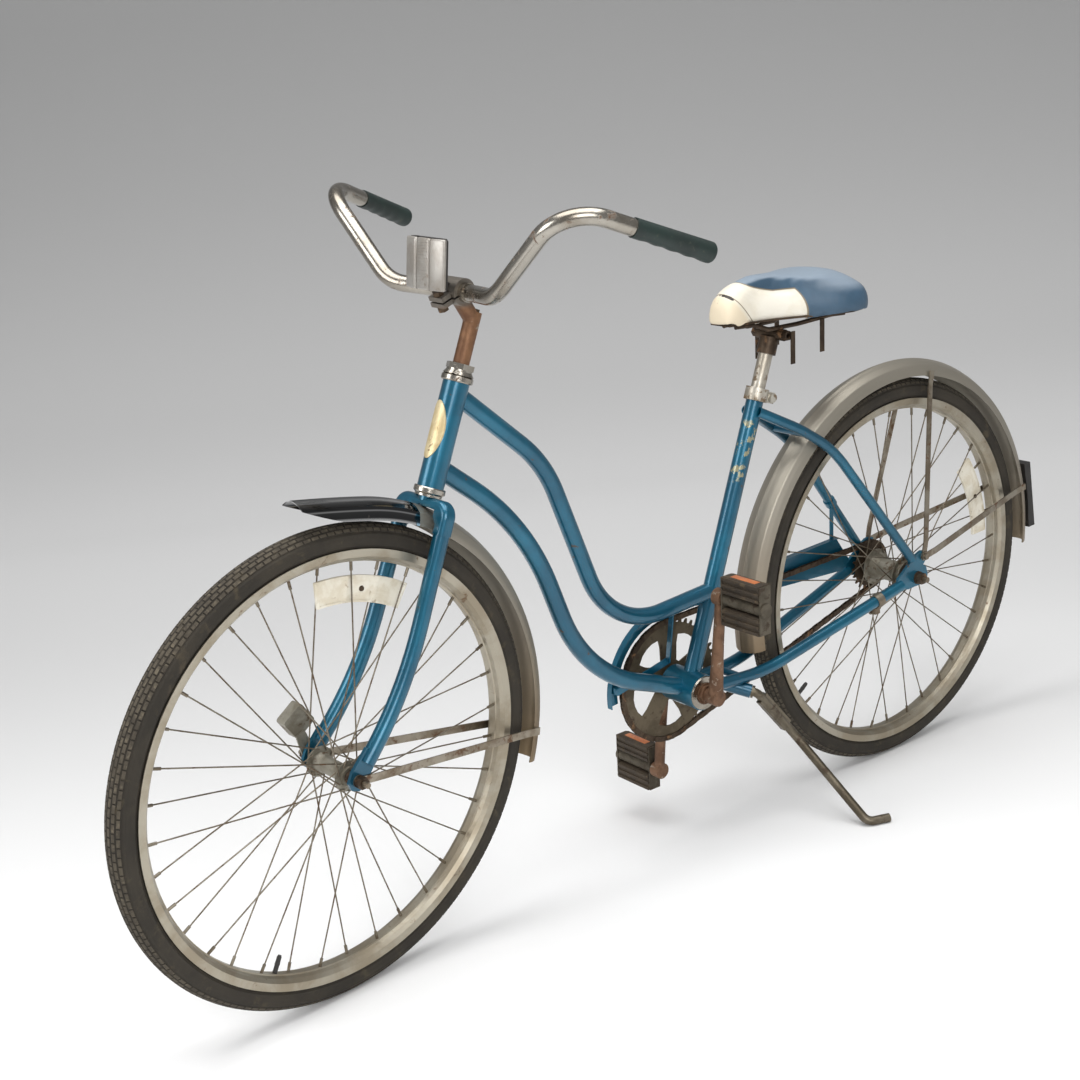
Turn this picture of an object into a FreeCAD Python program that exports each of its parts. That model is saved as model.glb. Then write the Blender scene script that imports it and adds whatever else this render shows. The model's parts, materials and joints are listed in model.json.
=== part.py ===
import FreeCAD, Part
import math
import os
import Sketcher
from FreeCAD import Placement, Rotation, Vector

# Step-through cruiser bicycle standing on its kickstand.
# Bike frame: rear axle at the origin, X forward, Y to the rider's left, Z up in the plane of the bike.
doc = FreeCAD.newDocument("Bicycle")
sheet = doc.addObject("Spreadsheet::Sheet", "Dims")
sheet_row = [0]


def as_size(x):
    return x if isinstance(x, Size) else Size(float(x), "(%.9g)" % float(x))


class Size:
    # A number together with the sheet formula that gives it.
    def __init__(self, value, text):
        self.value = value
        self.text = text

    def __float__(self):
        return float(self.value)

    def joined(self, sign, other, value):
        return Size(value, "(%s %s %s)" % (self.text, sign, other.text))

    def __add__(self, other):
        other = as_size(other)
        return self.joined("+", other, self.value + other.value)

    def __radd__(self, other):
        return as_size(other) + self

    def __sub__(self, other):
        other = as_size(other)
        return self.joined("-", other, self.value - other.value)

    def __rsub__(self, other):
        return as_size(other) - self

    def __mul__(self, other):
        other = as_size(other)
        return self.joined("*", other, self.value * other.value)

    def __rmul__(self, other):
        return as_size(other) * self

    def __truediv__(self, other):
        other = as_size(other)
        return self.joined("/", other, self.value / other.value)

    def __neg__(self):
        return Size(-self.value, "(0 - %s)" % self.text)


def root(x):
    return Size(math.sqrt(x.value), "sqrt(%s)" % x.text)


def sine(angle):
    return Size(math.sin(math.radians(angle.value)), "sin(%s * 1deg)" % angle.text)


def cosine(angle):
    return Size(math.cos(math.radians(angle.value)), "cos(%s * 1deg)" % angle.text)


def size(alias, value):
    sheet_row[0] += 1
    row = sheet_row[0]
    sheet.set("A%d" % row, alias)
    sheet.set("B%d" % row, str(value))
    sheet.setAlias("B%d" % row, alias)
    return Size(float(value), "Dims." + alias)


# Overall
wheelbase = size("wheelbase", 1115)
lean_angle = size("lean_angle", 5)
steer_angle = size("steer_angle", 5.3)
fit_gap = size("fit_gap", 0.3)
shaft_gap = size("shaft_gap", 0.05)
plate_gap = size("plate_gap", 0.2)

# Wheels
tyre_radius = size("tyre_radius", 330)
tyre_section = size("tyre_section", 20)
tyre_wall = size("tyre_wall", 3.5)
rim_drop = size("rim_drop", 12)
rim_wall = size("rim_wall", 1.8)
rim_depth = size("rim_depth", 15)
rim_rib_half = size("rim_rib_half", 5)
rim_rib_height = size("rim_rib_height", 2)
spoke_count = size("spoke_count", 36)
spoke_radius = size("spoke_radius", 1)
spoke_cross_angle = size("spoke_cross_angle", 60)
nipple_radius = size("nipple_radius", 2.1)
nipple_length = size("nipple_length", 12)
valve_radius = size("valve_radius", 3.2)
valve_length = size("valve_length", 24)
spoke_reflector_arc = size("spoke_reflector_arc", 34)
spoke_reflector_inner = size("spoke_reflector_inner", 224)
spoke_reflector_height = size("spoke_reflector_height", 36)
spoke_reflector_half = size("spoke_reflector_half", 2.6)

# Front hub and axle
front_flange_radius = size("front_flange_radius", 21)
front_flange_y = size("front_flange_y", 31)
flange_half = size("flange_half", 1.2)
front_barrel_radius = size("front_barrel_radius", 11.5)
front_axle_radius = size("front_axle_radius", 3.97)
front_cone_radius = size("front_cone_radius", 8.9)
fork_tip_y = size("fork_tip_y", 47.5)
fork_tip_thick = size("fork_tip_thick", 5)
strap_thick = size("strap_thick", 2)
washer_thick = size("washer_thick", 2.5)
nut_height = size("nut_height", 8)
axle_stub = size("axle_stub", 8.5)
axle_neck = size("axle_neck", 1)
axle_neck_depth = size("axle_neck_depth", 0.5)
front_nut_radius = size("front_nut_radius", 8.7)

# Rear hub and axle
rear_flange_radius = size("rear_flange_radius", 31)
rear_flange_y = size("rear_flange_y", 30)
rear_barrel_radius = size("rear_barrel_radius", 18)
rear_axle_radius = size("rear_axle_radius", 4.76)
brake_cone_radius = size("brake_cone_radius", 20)
driver_radius = size("driver_radius", 16)
dropout_y = size("dropout_y", 55)
dropout_thick = size("dropout_thick", 5)
rear_nut_radius = size("rear_nut_radius", 10)
locknut_radius = size("locknut_radius", 9)
brake_thick = size("brake_thick", 3.5)

# Head and steering
head_angle = size("head_angle", 68)
head_x = size("head_x", 928)
head_z = size("head_z", 341)
head_length = size("head_length", 142)
head_radius = size("head_radius", 18)
head_wall = size("head_wall", 2)
cup_height = size("cup_height", 9)
cup_radius = size("cup_radius", 21.5)
race_height = size("race_height", 3)
steerer_radius = size("steerer_radius", 12.7)
quill_radius = size("quill_radius", 11.1)
lock_height = size("lock_height", 15)
badge_half_height = size("badge_half_height", 39)
badge_half_width = size("badge_half_width", 15)
badge_thick = size("badge_thick", 1.2)

# Frame tubes
bb_x = size("bb_x", 475)
bb_z = size("bb_z", -75)
bb_radius = size("bb_radius", 28)
bb_half = size("bb_half", 34)
bb_wall = size("bb_wall", 2.3)
seat_angle = size("seat_angle", 70.1)
seat_tube_length = size("seat_tube_length", 469)
seat_tube_radius = size("seat_tube_radius", 13.5)
top_tube_radius = size("top_tube_radius", 12.7)
down_tube_radius = size("down_tube_radius", 13.5)
tube_wall = size("tube_wall", 1.6)
chain_stay_radius = size("chain_stay_radius", 9.5)
chain_stay_bend = size("chain_stay_bend", 300)
seat_stay_radius = size("seat_stay_radius", 8)
bridge_radius = size("bridge_radius", 6)
low_bridge_x = size("low_bridge_x", 385)

# Fork
blade_radius = size("blade_radius", 11)
blade_top_y = size("blade_top_y", 43)
blade_bend_share = size("blade_bend_share", 0.8)
crown_half_depth = size("crown_half_depth", 11.4)
crown_leg = size("crown_leg", 44)
crown_bridge = size("crown_bridge", 17)
crown_gusset = size("crown_gusset", 16)

# Bars and stem
bar_radius = size("bar_radius", 11.1)
bar_sleeve_radius = size("bar_sleeve_radius", 12.7)
bar_wall = size("bar_wall", 1.6)
bar_x = size("bar_x", 870)
bar_z = size("bar_z", 592)
bar_bend_radius = size("bar_bend_radius", 58)
grip_radius = size("grip_radius", 15)
grip_length = size("grip_length", 116)
stem_clamp_radius = size("stem_clamp_radius", 18)
stem_clamp_half = size("stem_clamp_half", 19)

# Fenders
fender_radius = size("fender_radius", 362)
fender_half = size("fender_half", 29)
fender_edge = size("fender_edge", 336)
fender_thick = size("fender_thick", 1.2)
front_fender_start = size("front_fender_start", 85)
front_fender_sweep = size("front_fender_sweep", 112)
rear_fender_start = size("rear_fender_start", -8)
rear_fender_sweep = size("rear_fender_sweep", 192)
strap_width = size("strap_width", 11)

# Drive
chainwheel_teeth = size("chainwheel_teeth", 48)
cog_teeth = size("cog_teeth", 20)
chain_pitch = size("chain_pitch", 12.7)
chain_links = size("chain_links", 110)
chain_y = size("chain_y", -45)
sprocket_half = size("sprocket_half", 1.2)
tooth_rise = size("tooth_rise", 3)
chain_inner_half = size("chain_inner_half", 1.75)
chain_plate = size("chain_plate", 1.5)
chain_plate_radius = size("chain_plate_radius", 4.2)
roller_radius = size("roller_radius", 3.9)
crank_length = size("crank_length", 165)
spindle_radius = size("spindle_radius", 11)
crank_root_y = size("crank_root_y", 62)
crank_eye_y = size("crank_eye_y", 75)
crank_root_radius = size("crank_root_radius", 12)
crank_eye_radius = size("crank_eye_radius", 13)
crank_cone_radius = size("crank_cone_radius", 17)
pedal_axle_radius = size("pedal_axle_radius", 6.35)
pedal_inner_y = size("pedal_inner_y", 86)
pedal_length = size("pedal_length", 80)
pedal_plate = size("pedal_plate", 2)
pedal_half_height = size("pedal_half_height", 39)
pedal_half_thick = size("pedal_half_thick", 13)
pedal_barrel_radius = size("pedal_barrel_radius", 10)
guard_radius = size("guard_radius", 122)
guard_width = size("guard_width", 20)
guard_y = size("guard_y", -51.5)
guard_thick = size("guard_thick", 1.2)
guard_lip = size("guard_lip", 9)

# Kickstand
stand_x = size("stand_x", 376)
stand_y = size("stand_y", 37)
stand_z = size("stand_z", -101)
stand_swing = size("stand_swing", 38)
stand_tilt = size("stand_tilt", 15)
leg_bend_x = size("leg_bend_x", 290)
leg_bend_z = size("leg_bend_z", -196)
housing_radius = size("housing_radius", 11)
housing_length = size("housing_length", 62)
leg_radius = size("leg_radius", 7)
foot_x = size("foot_x", 280)
foot_y = size("foot_y", 193)

# Saddle and post
post_radius = size("post_radius", 11.1)
post_show = size("post_show", 83)
post_inside = size("post_inside", 139)
collar_height = size("collar_height", 20)
collar_wall = size("collar_wall", 4.5)
saddle_ahead = size("saddle_ahead", 114.9)
saddle_length = size("saddle_length", 268)
saddle_half_width = size("saddle_half_width", 98)
saddle_over = size("saddle_over", 35)
saddle_height = size("saddle_height", 55)
pan_thick = size("pan_thick", 3)
rail_radius = size("rail_radius", 3.5)

# Sizes that follow from others
rim_edge_radius = tyre_radius - tyre_section - rim_drop
post_top = seat_tube_length + post_show
post_bottom = seat_tube_length - post_inside
saddle_nose_x = bb_x - post_top * cosine(seat_angle) + saddle_ahead
saddle_base_z = bb_z + post_top * sine(seat_angle) + saddle_over

doc.recompute()

Y = Vector(0, 1, 0)
Z = Vector(0, 0, 1)
still = Placement()
nodes = []


def add_node(obj, label, local=still):
    obj.Label = label
    nodes.append((obj, local))
    return obj


def bind(obj, prop, value):
    if isinstance(value, Size):
        obj.setExpression(prop, value.text)
    else:
        setattr(obj, prop, value)


# Part primitives and booleans
def along(base, axis):
    return Placement(base, Rotation(Z, axis))


def cylinder(name, radius, height, base, axis):
    obj = doc.addObject("Part::Cylinder", name)
    bind(obj, "Radius", radius)
    bind(obj, "Height", height)
    obj.Placement = along(base, axis)
    return obj


def cone(name, radius1, radius2, height, base, axis):
    obj = doc.addObject("Part::Cone", name)
    bind(obj, "Radius1", radius1)
    bind(obj, "Radius2", radius2)
    bind(obj, "Height", height)
    obj.Placement = along(base, axis)
    return obj


def prism(name, radius, height, base, axis):
    obj = doc.addObject("Part::Prism", name)
    obj.Polygon = 6
    bind(obj, "Circumradius", radius)
    bind(obj, "Height", height)
    obj.Placement = along(base, axis)
    return obj


def box(name, lx, ly, lz, placement):
    # Box centred on its placement.
    obj = doc.addObject("Part::Box", name)
    bind(obj, "Length", lx)
    bind(obj, "Width", ly)
    bind(obj, "Height", lz)
    centre = Placement(Vector(-float(lx) / 2, -float(ly) / 2, -float(lz) / 2), Rotation())
    obj.Placement = placement.multiply(centre)
    return obj


def cut(name, base, *tools):
    for i, tool in enumerate(tools):
        obj = doc.addObject("Part::Cut", name if i == len(tools) - 1 else name + "_step")
        obj.Base = base
        obj.Tool = tool
        base = obj
    return base


def fuse(name, *shapes):
    obj = doc.addObject("Part::MultiFuse", name)
    obj.Shapes = list(shapes)
    return obj


def common(name, *shapes):
    obj = doc.addObject("Part::MultiCommon", name)
    obj.Shapes = list(shapes)
    return obj


def group(name, *shapes):
    obj = doc.addObject("Part::Compound", name)
    obj.Links = list(shapes)
    return obj


def ring(name, outer, inner, height, base, axis):
    return cut(name, cylinder(name + "_outer", outer, height, base, axis),
               cylinder(name + "_bore", inner, height, base, axis))


def hex_nut(name, radius, bore, height, base, axis):
    return cut(name, prism(name + "_hex", radius, height, base, axis),
               cylinder(name + "_bore", bore, height, base, axis))


def plain(name, shape):
    obj = doc.addObject("Part::Feature", name)
    obj.Shape = shape
    return obj


# Bent tubes
def rounded_path(points, radii):
    # Straight runs joined by tangent arcs.
    edges = []
    start = points[0]
    for i in range(1, len(points) - 1):
        a = (points[i - 1] - points[i]).normalize()
        b = (points[i + 1] - points[i]).normalize()
        half = a.getAngle(b) / 2
        reach = radii[i - 1] / math.tan(half)
        p = points[i] + a * reach
        q = points[i] + b * reach
        inward = (a + b).normalize()
        mid = points[i] + inward * (radii[i - 1] / math.sin(half) - radii[i - 1])
        edges.append(Part.LineSegment(start, p).toShape())
        edges.append(Part.Arc(p, mid, q).toShape())
        start = q
    edges.append(Part.LineSegment(start, points[-1]).toShape())
    return Part.Wire(edges)


def sweep(name, points, radii, radius):
    path = plain(name + "_path", rounded_path(points, radii))
    section = doc.addObject("Part::Circle", name + "_section")
    bind(section, "Radius", radius)
    section.Placement = along(points[0], (points[1] - points[0]).normalize())
    obj = doc.addObject("Part::Sweep", name)
    obj.Sections = [section]
    obj.Spine = (path, ["Edge%d" % (i + 1) for i in range(len(path.Shape.Edges))])
    obj.Solid = True
    return obj


def bend_radius(points, share):
    # Radius of a bend that takes up a share of its shorter straight.
    a = points[0] - points[1]
    b = points[2] - points[1]
    return float(share) * min(a.Length, b.Length) * math.tan(a.getAngle(b) / 2)


def bent_tube(name, points, radii, radius, wall):
    return cut(name, sweep(name + "_rod", points, radii, radius),
               sweep(name + "_hollow", points, radii, radius - wall))


# Part Design helpers
def new_body(name):
    return doc.addObject("PartDesign::Body", name)


def new_sketch(body, role, offset=None):
    sketch = body.newObject("Sketcher::SketchObject", body.Name + "_sketch")
    plane = [f for f in body.Origin.OriginFeatures if f.Role == role][0]
    sketch.AttachmentSupport = [(plane, "")]
    sketch.MapMode = "FlatFace"
    if offset is not None:
        bind(sketch, "AttachmentOffset.Base.z", as_size(offset))
    return sketch


def fix(sketch, kind, value, *refs):
    index = sketch.addConstraint(Sketcher.Constraint(kind, *refs, float(value)))
    if isinstance(value, Size):
        sketch.setExpression("Constraints[%d]" % index, value.text)


def polygon(sketch, points):
    first = sketch.GeometryCount
    count = len(points)
    spots = [Vector(float(x), float(y), 0) for x, y in points]
    for i in range(count):
        sketch.addGeometry(Part.LineSegment(spots[i], spots[(i + 1) % count]), False)
    for i in range(count):
        sketch.addConstraint(Sketcher.Constraint("Coincident", first + i, 2, first + (i + 1) % count, 1))
    for i, (x, y) in enumerate(points):
        fix(sketch, "DistanceX", x, -1, 1, first + i, 1)
        fix(sketch, "DistanceY", y, -1, 1, first + i, 1)


def circle(sketch, x, y, radius):
    spot = Vector(float(x), float(y), 0)
    index = sketch.addGeometry(Part.Circle(spot, Z, float(radius)), False)
    fix(sketch, "Radius", radius, index)
    fix(sketch, "DistanceX", x, -1, 1, index, 3)
    fix(sketch, "DistanceY", y, -1, 1, index, 3)


def pad(body, sketch, length, symmetric=False, reverse=False):
    feature = body.newObject("PartDesign::Pad", body.Name + "_pad")
    feature.Profile = sketch
    bind(feature, "Length", length)
    feature.SideType = "Symmetric" if symmetric else "One side"
    feature.Reversed = reverse
    return feature


def pocket(body, sketch, length, symmetric=True):
    feature = body.newObject("PartDesign::Pocket", body.Name + "_pocket")
    feature.Profile = sketch
    bind(feature, "Length", length)
    feature.SideType = "Symmetric" if symmetric else "One side"
    return feature


def revolve(body, sketch, angle=360, reverse=False, axis="V_Axis"):
    feature = body.newObject("PartDesign::Revolution", body.Name + "_turn")
    feature.Profile = sketch
    feature.ReferenceAxis = (sketch, [axis])
    bind(feature, "Angle", angle)
    feature.Reversed = reverse
    return feature


def pattern(body, feature, sketch, count, axis="N_Axis"):
    obj = body.newObject("PartDesign::PolarPattern", body.Name + "_pattern")
    obj.Originals = [feature]
    obj.Axis = (sketch, [axis])
    obj.Angle = 360
    bind(obj, "Occurrences", count)
    body.Tip = obj
    return obj


def fillet(body, feature, radius, wanted):
    # Rounds the edges of a feature whose middle point passes the test.
    doc.recompute()
    names = []
    for i, edge in enumerate(feature.Shape.Edges):
        if wanted(edge, edge.CenterOfMass):
            names.append("Edge%d" % (i + 1))
    obj = body.newObject("PartDesign::Fillet", body.Name + "_round")
    obj.Base = (feature, names)
    bind(obj, "Radius", radius)
    return obj


def turned_body(name, profile):
    # Turned about the Y axis: profile points are (radius, position along Y).
    body = new_body(name)
    sketch = new_sketch(body, "XY_Plane")
    polygon(sketch, profile)
    revolve(body, sketch)
    return body


def mirrored(half):
    # Whole profile from the half with positive Y, first point innermost.
    return half + [(r, -y) for r, y in reversed(half)]


# Placements in the bike frame
head_point = Vector(float(head_x), 0, float(head_z))
head_place = Placement(head_point, Rotation(Y, float(head_angle) - 90))
turn = Placement(Vector(), Rotation(Z, float(steer_angle)))
steered = head_place.multiply(turn).multiply(head_place.inverse())
steerer_place = head_place.multiply(turn)
front_wheel = steered.multiply(Placement(Vector(float(wheelbase), 0, 0), Rotation()))
bb_point = Vector(float(bb_x), 0, float(bb_z))
bb_place = Placement(bb_point, Rotation())
seat_place = Placement(bb_point, Rotation(Y, float(seat_angle) - 90))
seat_up = seat_place.Rotation.multVec(Z)
head_up = head_place.Rotation.multVec(Z)
front_centre = Vector(float(wheelbase), 0, 0)
axle_local = head_place.inverse().multVec(front_centre)
section_centre = float(tyre_radius) - float(tyre_section)
lean = math.radians(float(lean_angle))


def ground_height(x, y, above):
    # Height in the bike plane of a point standing a distance above the ground.
    level = above - section_centre * math.cos(lean) - float(tyre_section)
    return (level + y * math.sin(lean)) / math.cos(lean)


# Head tube with badge and pressed cups
body = new_body("head_tube")
sketch = new_sketch(body, "XY_Plane")
circle(sketch, 0, 0, head_radius)
circle(sketch, 0, 0, head_radius - head_wall)
pad(body, sketch, head_length)
add_node(body, "head_tube", head_place)

oval = new_body("badge_oval")
sketch = new_sketch(oval, "YZ_Plane")
badge_top = Vector(0, float(badge_half_height), 0)
badge_side = Vector(float(badge_half_width), 0, 0)
sketch.addGeometry(Part.Ellipse(badge_top, badge_side, Vector()), False)
sketch.exposeInternalGeometry(0)
sketch.addConstraint(Sketcher.Constraint("Coincident", 0, 3, -1, 1))
sketch.addConstraint(Sketcher.Constraint("Vertical", 1))
fix(sketch, "Distance", 2 * badge_half_height, 1)
fix(sketch, "Distance", 2 * badge_half_width, 2)
pad(oval, sketch, 2 * head_radius)
oval.Placement = Placement(Vector(0, 0, float(head_length) * 0.53), Rotation())
skin = ring("badge_skin", head_radius + badge_thick, head_radius, head_length, Vector(), Z)
add_node(common("head_badge", oval, skin), "head_badge", head_place)


def headset_cup(name):
    body = new_body(name)
    sketch = new_sketch(body, "XZ_Plane")
    inner = steerer_radius + 2
    seat = head_radius - head_wall
    polygon(sketch, [(inner, -8), (seat, -8), (seat, 0), (cup_radius - 1, 0), (cup_radius, 1.5),
                     (cup_radius, cup_height - 2), (cup_radius - 2, cup_height), (inner, cup_height)])
    revolve(body, sketch)
    return body


top_cup = headset_cup("top_cup")
top_cup.Placement = Placement(Vector(0, 0, float(head_length)), Rotation())
low_cup = headset_cup("low_cup")
low_cup.Placement = Placement(Vector(), Rotation(Vector(1, 0, 0), 180))
add_node(group("headset_cups", top_cup, low_cup), "headset_cups", head_place)

# Turning half of the headset: crown race, cone, washer and hexagon locknut
race_top = -float(cup_height) - float(fit_gap)
crown_top = race_top - float(race_height)
cone_base = float(head_length) + float(cup_height) + float(fit_gap)
steerer_top = cone_base + float(lock_height)
crown_race = ring("crown_race", cup_radius - 3, steerer_radius, race_height, Vector(0, 0, crown_top), Z)
top_cone = cut("top_cone", cone("top_cone_body", cup_radius - 0.5, cup_radius - 4, lock_height * 0.35,
                                Vector(0, 0, cone_base), Z),
               cylinder("top_cone_bore", steerer_radius, lock_height, Vector(0, 0, cone_base), Z))
washer_base = cone_base + float(lock_height) * 0.35
head_washer = ring("head_washer", cup_radius - 4, steerer_radius, lock_height * 0.15,
                   Vector(0, 0, washer_base), Z)
nut_base = cone_base + float(lock_height) * 0.5
head_nut = hex_nut("head_nut", cup_radius - 2, steerer_radius, lock_height * 0.5, Vector(0, 0, nut_base), Z)
add_node(group("headset_cones", crown_race, top_cone, head_washer, head_nut), "headset_cones", steerer_place)

# Main tubes
head_core = cylinder("head_core", head_radius, head_length, head_point, head_up)
seat_core = cylinder("seat_core", seat_tube_radius, seat_tube_length, bb_point, seat_up)
bb_core = cylinder("bb_core", bb_radius, 2 * bb_half, bb_point - Y * float(bb_half), Y)


def head_at(along_head):
    return head_point + head_up * (float(head_length) * along_head)


def seat_at(distance):
    return bb_point + seat_up * distance


top_tube_path = [head_at(0.9), Vector(737, 0, 336), Vector(629, 0, 55), seat_at(155)]
top_rod = bent_tube("top_tube_rod", top_tube_path, [200, 138], top_tube_radius, tube_wall)
add_node(cut("top_tube", top_rod, head_core, seat_core), "top_tube")
down_tube_path = [head_at(0.2), Vector(776.5, 0, 257), Vector(681, 0, 2), bb_point]
down_rod = bent_tube("down_tube_rod", down_tube_path, [380, 240], down_tube_radius, tube_wall)
add_node(cut("down_tube", down_rod, head_core, bb_core), "down_tube")

body = new_body("seat_tube_blank")
sketch = new_sketch(body, "XY_Plane")
circle(sketch, 0, 0, seat_tube_radius)
circle(sketch, 0, 0, post_radius + 2 * shaft_gap)
pad(body, sketch, seat_tube_length)
body.Placement = seat_place
add_node(cut("seat_tube", body, bb_core), "seat_tube")

body = new_body("bb_shell")
sketch = new_sketch(body, "XZ_Plane")
circle(sketch, 0, 0, bb_radius)
circle(sketch, 0, 0, bb_radius - bb_wall)
pad(body, sketch, 2 * bb_half, symmetric=True)
add_node(body, "bb_shell", bb_place)


def bb_cup(name, side):
    inner = crank_cone_radius + fit_gap
    seat = bb_radius - bb_wall
    deep = bb_half - 9
    lip = bb_half + 3
    profile = [(inner, deep), (seat, deep), (seat, bb_half), (bb_radius - 1, bb_half), (bb_radius - 2, lip),
               (inner, lip)]
    return turned_body(name, [(r, side * y) for r, y in profile])


add_node(group("bb_cups", bb_cup("bb_cup_left", 1), bb_cup("bb_cup_right", -1)), "bb_cups", bb_place)

# Dropout plates
eyelet = Vector(-14, 0, 35)


def dropout(name, side):
    body = new_body(name)
    sketch = new_sketch(body, "XZ_Plane", -side * (dropout_y + dropout_thick / 2))
    polygon(sketch, [(-22, -13), (-26, 0), (-22, 14), (-14, 20), (-24, 31), (-21, 43), (-8, 45),
                     (6, 40), (28, 24), (50, 8), (50, -10), (24, -15)])
    pad(body, sketch, dropout_thick, symmetric=True)
    hole = new_sketch(body, "XZ_Plane")
    circle(hole, 0, 0, rear_axle_radius + shaft_gap)
    pocket(body, hole, 4 * dropout_y)
    return body


drop_left = dropout("dropout_left", 1)
drop_right = dropout("dropout_right", -1)
add_node(group("dropouts", drop_left, drop_right), "dropouts")


# Stays, each cut to meet the tubes and plates it is brazed to
def side_points(points, side):
    return [Vector(x, y * side, z) for x, y, z in points]


stay_y = float(dropout_y) + float(dropout_thick) / 2
chain_stay_line = [(float(bb_x) - 18, 21, float(bb_z) - 1), (340, 31, -79), (40, stay_y + 1, -4)]
stay_top = seat_at(float(seat_tube_length) - 32)
seat_stay_line = [(stay_top.x, 13, stay_top.z), (stay_top.x - 64.3, 37, stay_top.z - 34.9),
                  (stay_top.x - 130.3, 45, stay_top.z - 76.9), (14, stay_y + 0.5, 35)]


def stays(name, line, radii, radius, core):
    rods = []
    for side, tag, plate in ((1, "_left", drop_left), (-1, "_right", drop_right)):
        tube = bent_tube(name + tag + "_tube", side_points(line, side), radii, radius, tube_wall)
        rods.append(cut(name + tag, tube, core, plate))
    return rods


def bridge(name, x, z, half, rods):
    bar = cylinder(name + "_bar", bridge_radius, 2 * half, Vector(float(x), -half, z), Y)
    return cut(name, bar, *rods)


chain_stay_bends = [float(chain_stay_bend)]
seat_stay_bends = [140, 250]
chain_stay_rods = stays("chain_stay", chain_stay_line, chain_stay_bends, chain_stay_radius, bb_core)
seat_stay_rods = stays("seat_stay", seat_stay_line, seat_stay_bends, seat_stay_radius, seat_core)


def solid_stays(name, line, radii, radius):
    return [sweep(name + "_left", side_points(line, 1), radii, radius),
            sweep(name + "_right", side_points(line, -1), radii, radius)]


chain_cores = solid_stays("chain_stay_core", chain_stay_line, chain_stay_bends, chain_stay_radius)
seat_cores = solid_stays("seat_stay_core", seat_stay_line, seat_stay_bends, seat_stay_radius)
low_bridge = bridge("low_bridge", low_bridge_x, -78, 28, chain_cores)
high_bridge = bridge("high_bridge", stay_top.x - 84.3, stay_top.z - 46.9, 39.5, seat_cores)
add_node(group("chain_stays", *chain_stay_rods, low_bridge), "chain_stays")
add_node(group("seat_stays", *seat_stay_rods, high_bridge), "seat_stays")

# Kickstand housing and leg
swing = math.radians(float(stand_swing))
tilt = math.radians(float(stand_tilt))
stand_axis = Vector(-math.sin(swing) * math.cos(tilt), math.cos(swing) * math.cos(tilt), -math.sin(tilt))
stand_point = Vector(float(stand_x), float(stand_y), float(stand_z))
housing_base = stand_point - stand_axis * float(housing_length)
housing_tube = ring("housing_tube", housing_radius, leg_radius + shaft_gap, housing_length,
                    housing_base, stand_axis)
add_node(cut("kickstand_housing", housing_tube, *chain_cores), "kickstand_housing")



def on_ground(x, y):
    # Centre of the leg where it lies just clear of the ground.
    return Vector(x, y, ground_height(x, y, float(leg_radius) + 0.1))


foot = on_ground(float(foot_x), float(foot_y))
toe = on_ground(foot.x - 34, foot.y + 15)
knee = stand_point + stand_axis * 10
leg_bend = Vector(float(leg_bend_x), knee.y, float(leg_bend_z))
leg_path = [housing_base + stand_axis * 6, knee, leg_bend, foot, toe]
leg_rod = sweep("leg_rod", leg_path, [13, 40, 16], leg_radius)
leg_down = (leg_bend - knee).normalize()
blade_turn = Placement(knee + leg_down * 56, Rotation(Y.cross(leg_down), Vector(), leg_down, "ZXY"))
leg_blade = box("leg_blade", 20, leg_radius * 1.3, 84, blade_turn)
leg_collar = cylinder("leg_collar", housing_radius - 1, 4, stand_point + stand_axis * 0.5, stand_axis)
add_node(fuse("kickstand_leg", leg_rod, leg_blade, leg_collar), "kickstand_leg")

# Seat post, collar with bolt
body = new_body("seat_post")
sketch = new_sketch(body, "XY_Plane", post_bottom)
circle(sketch, 0, 0, post_radius)
circle(sketch, 0, 0, post_radius - 2)
pad(body, sketch, post_top - post_bottom)
add_node(body, "seat_post", seat_place)

collar_base = Vector(0, 0, float(seat_tube_length) - float(collar_height) + 4)
collar_outer = seat_tube_radius + collar_wall
collar_ring = cylinder("collar_ring", collar_outer, collar_height, collar_base, Z)
ear_place = Placement(collar_base + Vector(-float(collar_outer) - 4, 0, float(collar_height) / 2), Rotation())
collar_ears = box("collar_ears", 18, 20, collar_height - 3, ear_place)
collar_blank = fuse("collar_blank", collar_ring, collar_ears)
slot_place = Placement(ear_place.Base + Vector(-8, 0, 0), Rotation())
collar_slot = box("collar_slot", 40, 3, collar_height + 2, slot_place)
collar_bore = cylinder("collar_bore", seat_tube_radius, collar_height, collar_base, Z)
bolt_at = ear_place.Base + Vector(-2, 0, 0)
bolt_hole = cylinder("collar_bolt_hole", 3.6, 60, bolt_at - Y * 30, Y)
collar = cut("collar", collar_blank, collar_slot, collar_bore, bolt_hole)
bolt_head = cylinder("collar_bolt_head", 7, 5, bolt_at + Y * 10, Y)
bolt_shank = cylinder("collar_bolt_shank", 3.5, 28, bolt_at - Y * 18, Y)
bolt_nut = prism("collar_bolt_nut", 7, 6, bolt_at - Y * 16, Y)
collar_bolt = fuse("collar_bolt", bolt_head, bolt_shank, bolt_nut)
add_node(group("seat_collar", collar, collar_bolt), "seat_collar", seat_place)


# Saddle: crowned cushion with drawn-in sides on a pressed pan
def saddle_section(t, half, rise):
    # Closed section across the saddle at a share of its length from the nose.
    x = float(saddle_nose_x) - t * float(saddle_length)
    low = float(saddle_base_z)
    top = low + rise
    base = [Vector(x, -half * 0.86, low), Vector(x, half * 0.86, low)]
    edge = Vector(x, half * 0.84, low + rise * 0.78)
    back = Vector(x, -edge.y, edge.z)
    bulge = Vector(x, half, low + rise * 0.36)
    other = Vector(x, -half, bulge.z)
    lines = [Part.LineSegment(base[0], base[1]).toShape(), Part.Arc(base[1], bulge, edge).toShape(),
             Part.Arc(edge, Vector(x, 0, top), back).toShape(), Part.Arc(back, other, base[0]).toShape()]
    return plain("saddle_section", Part.Wire(lines))


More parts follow.
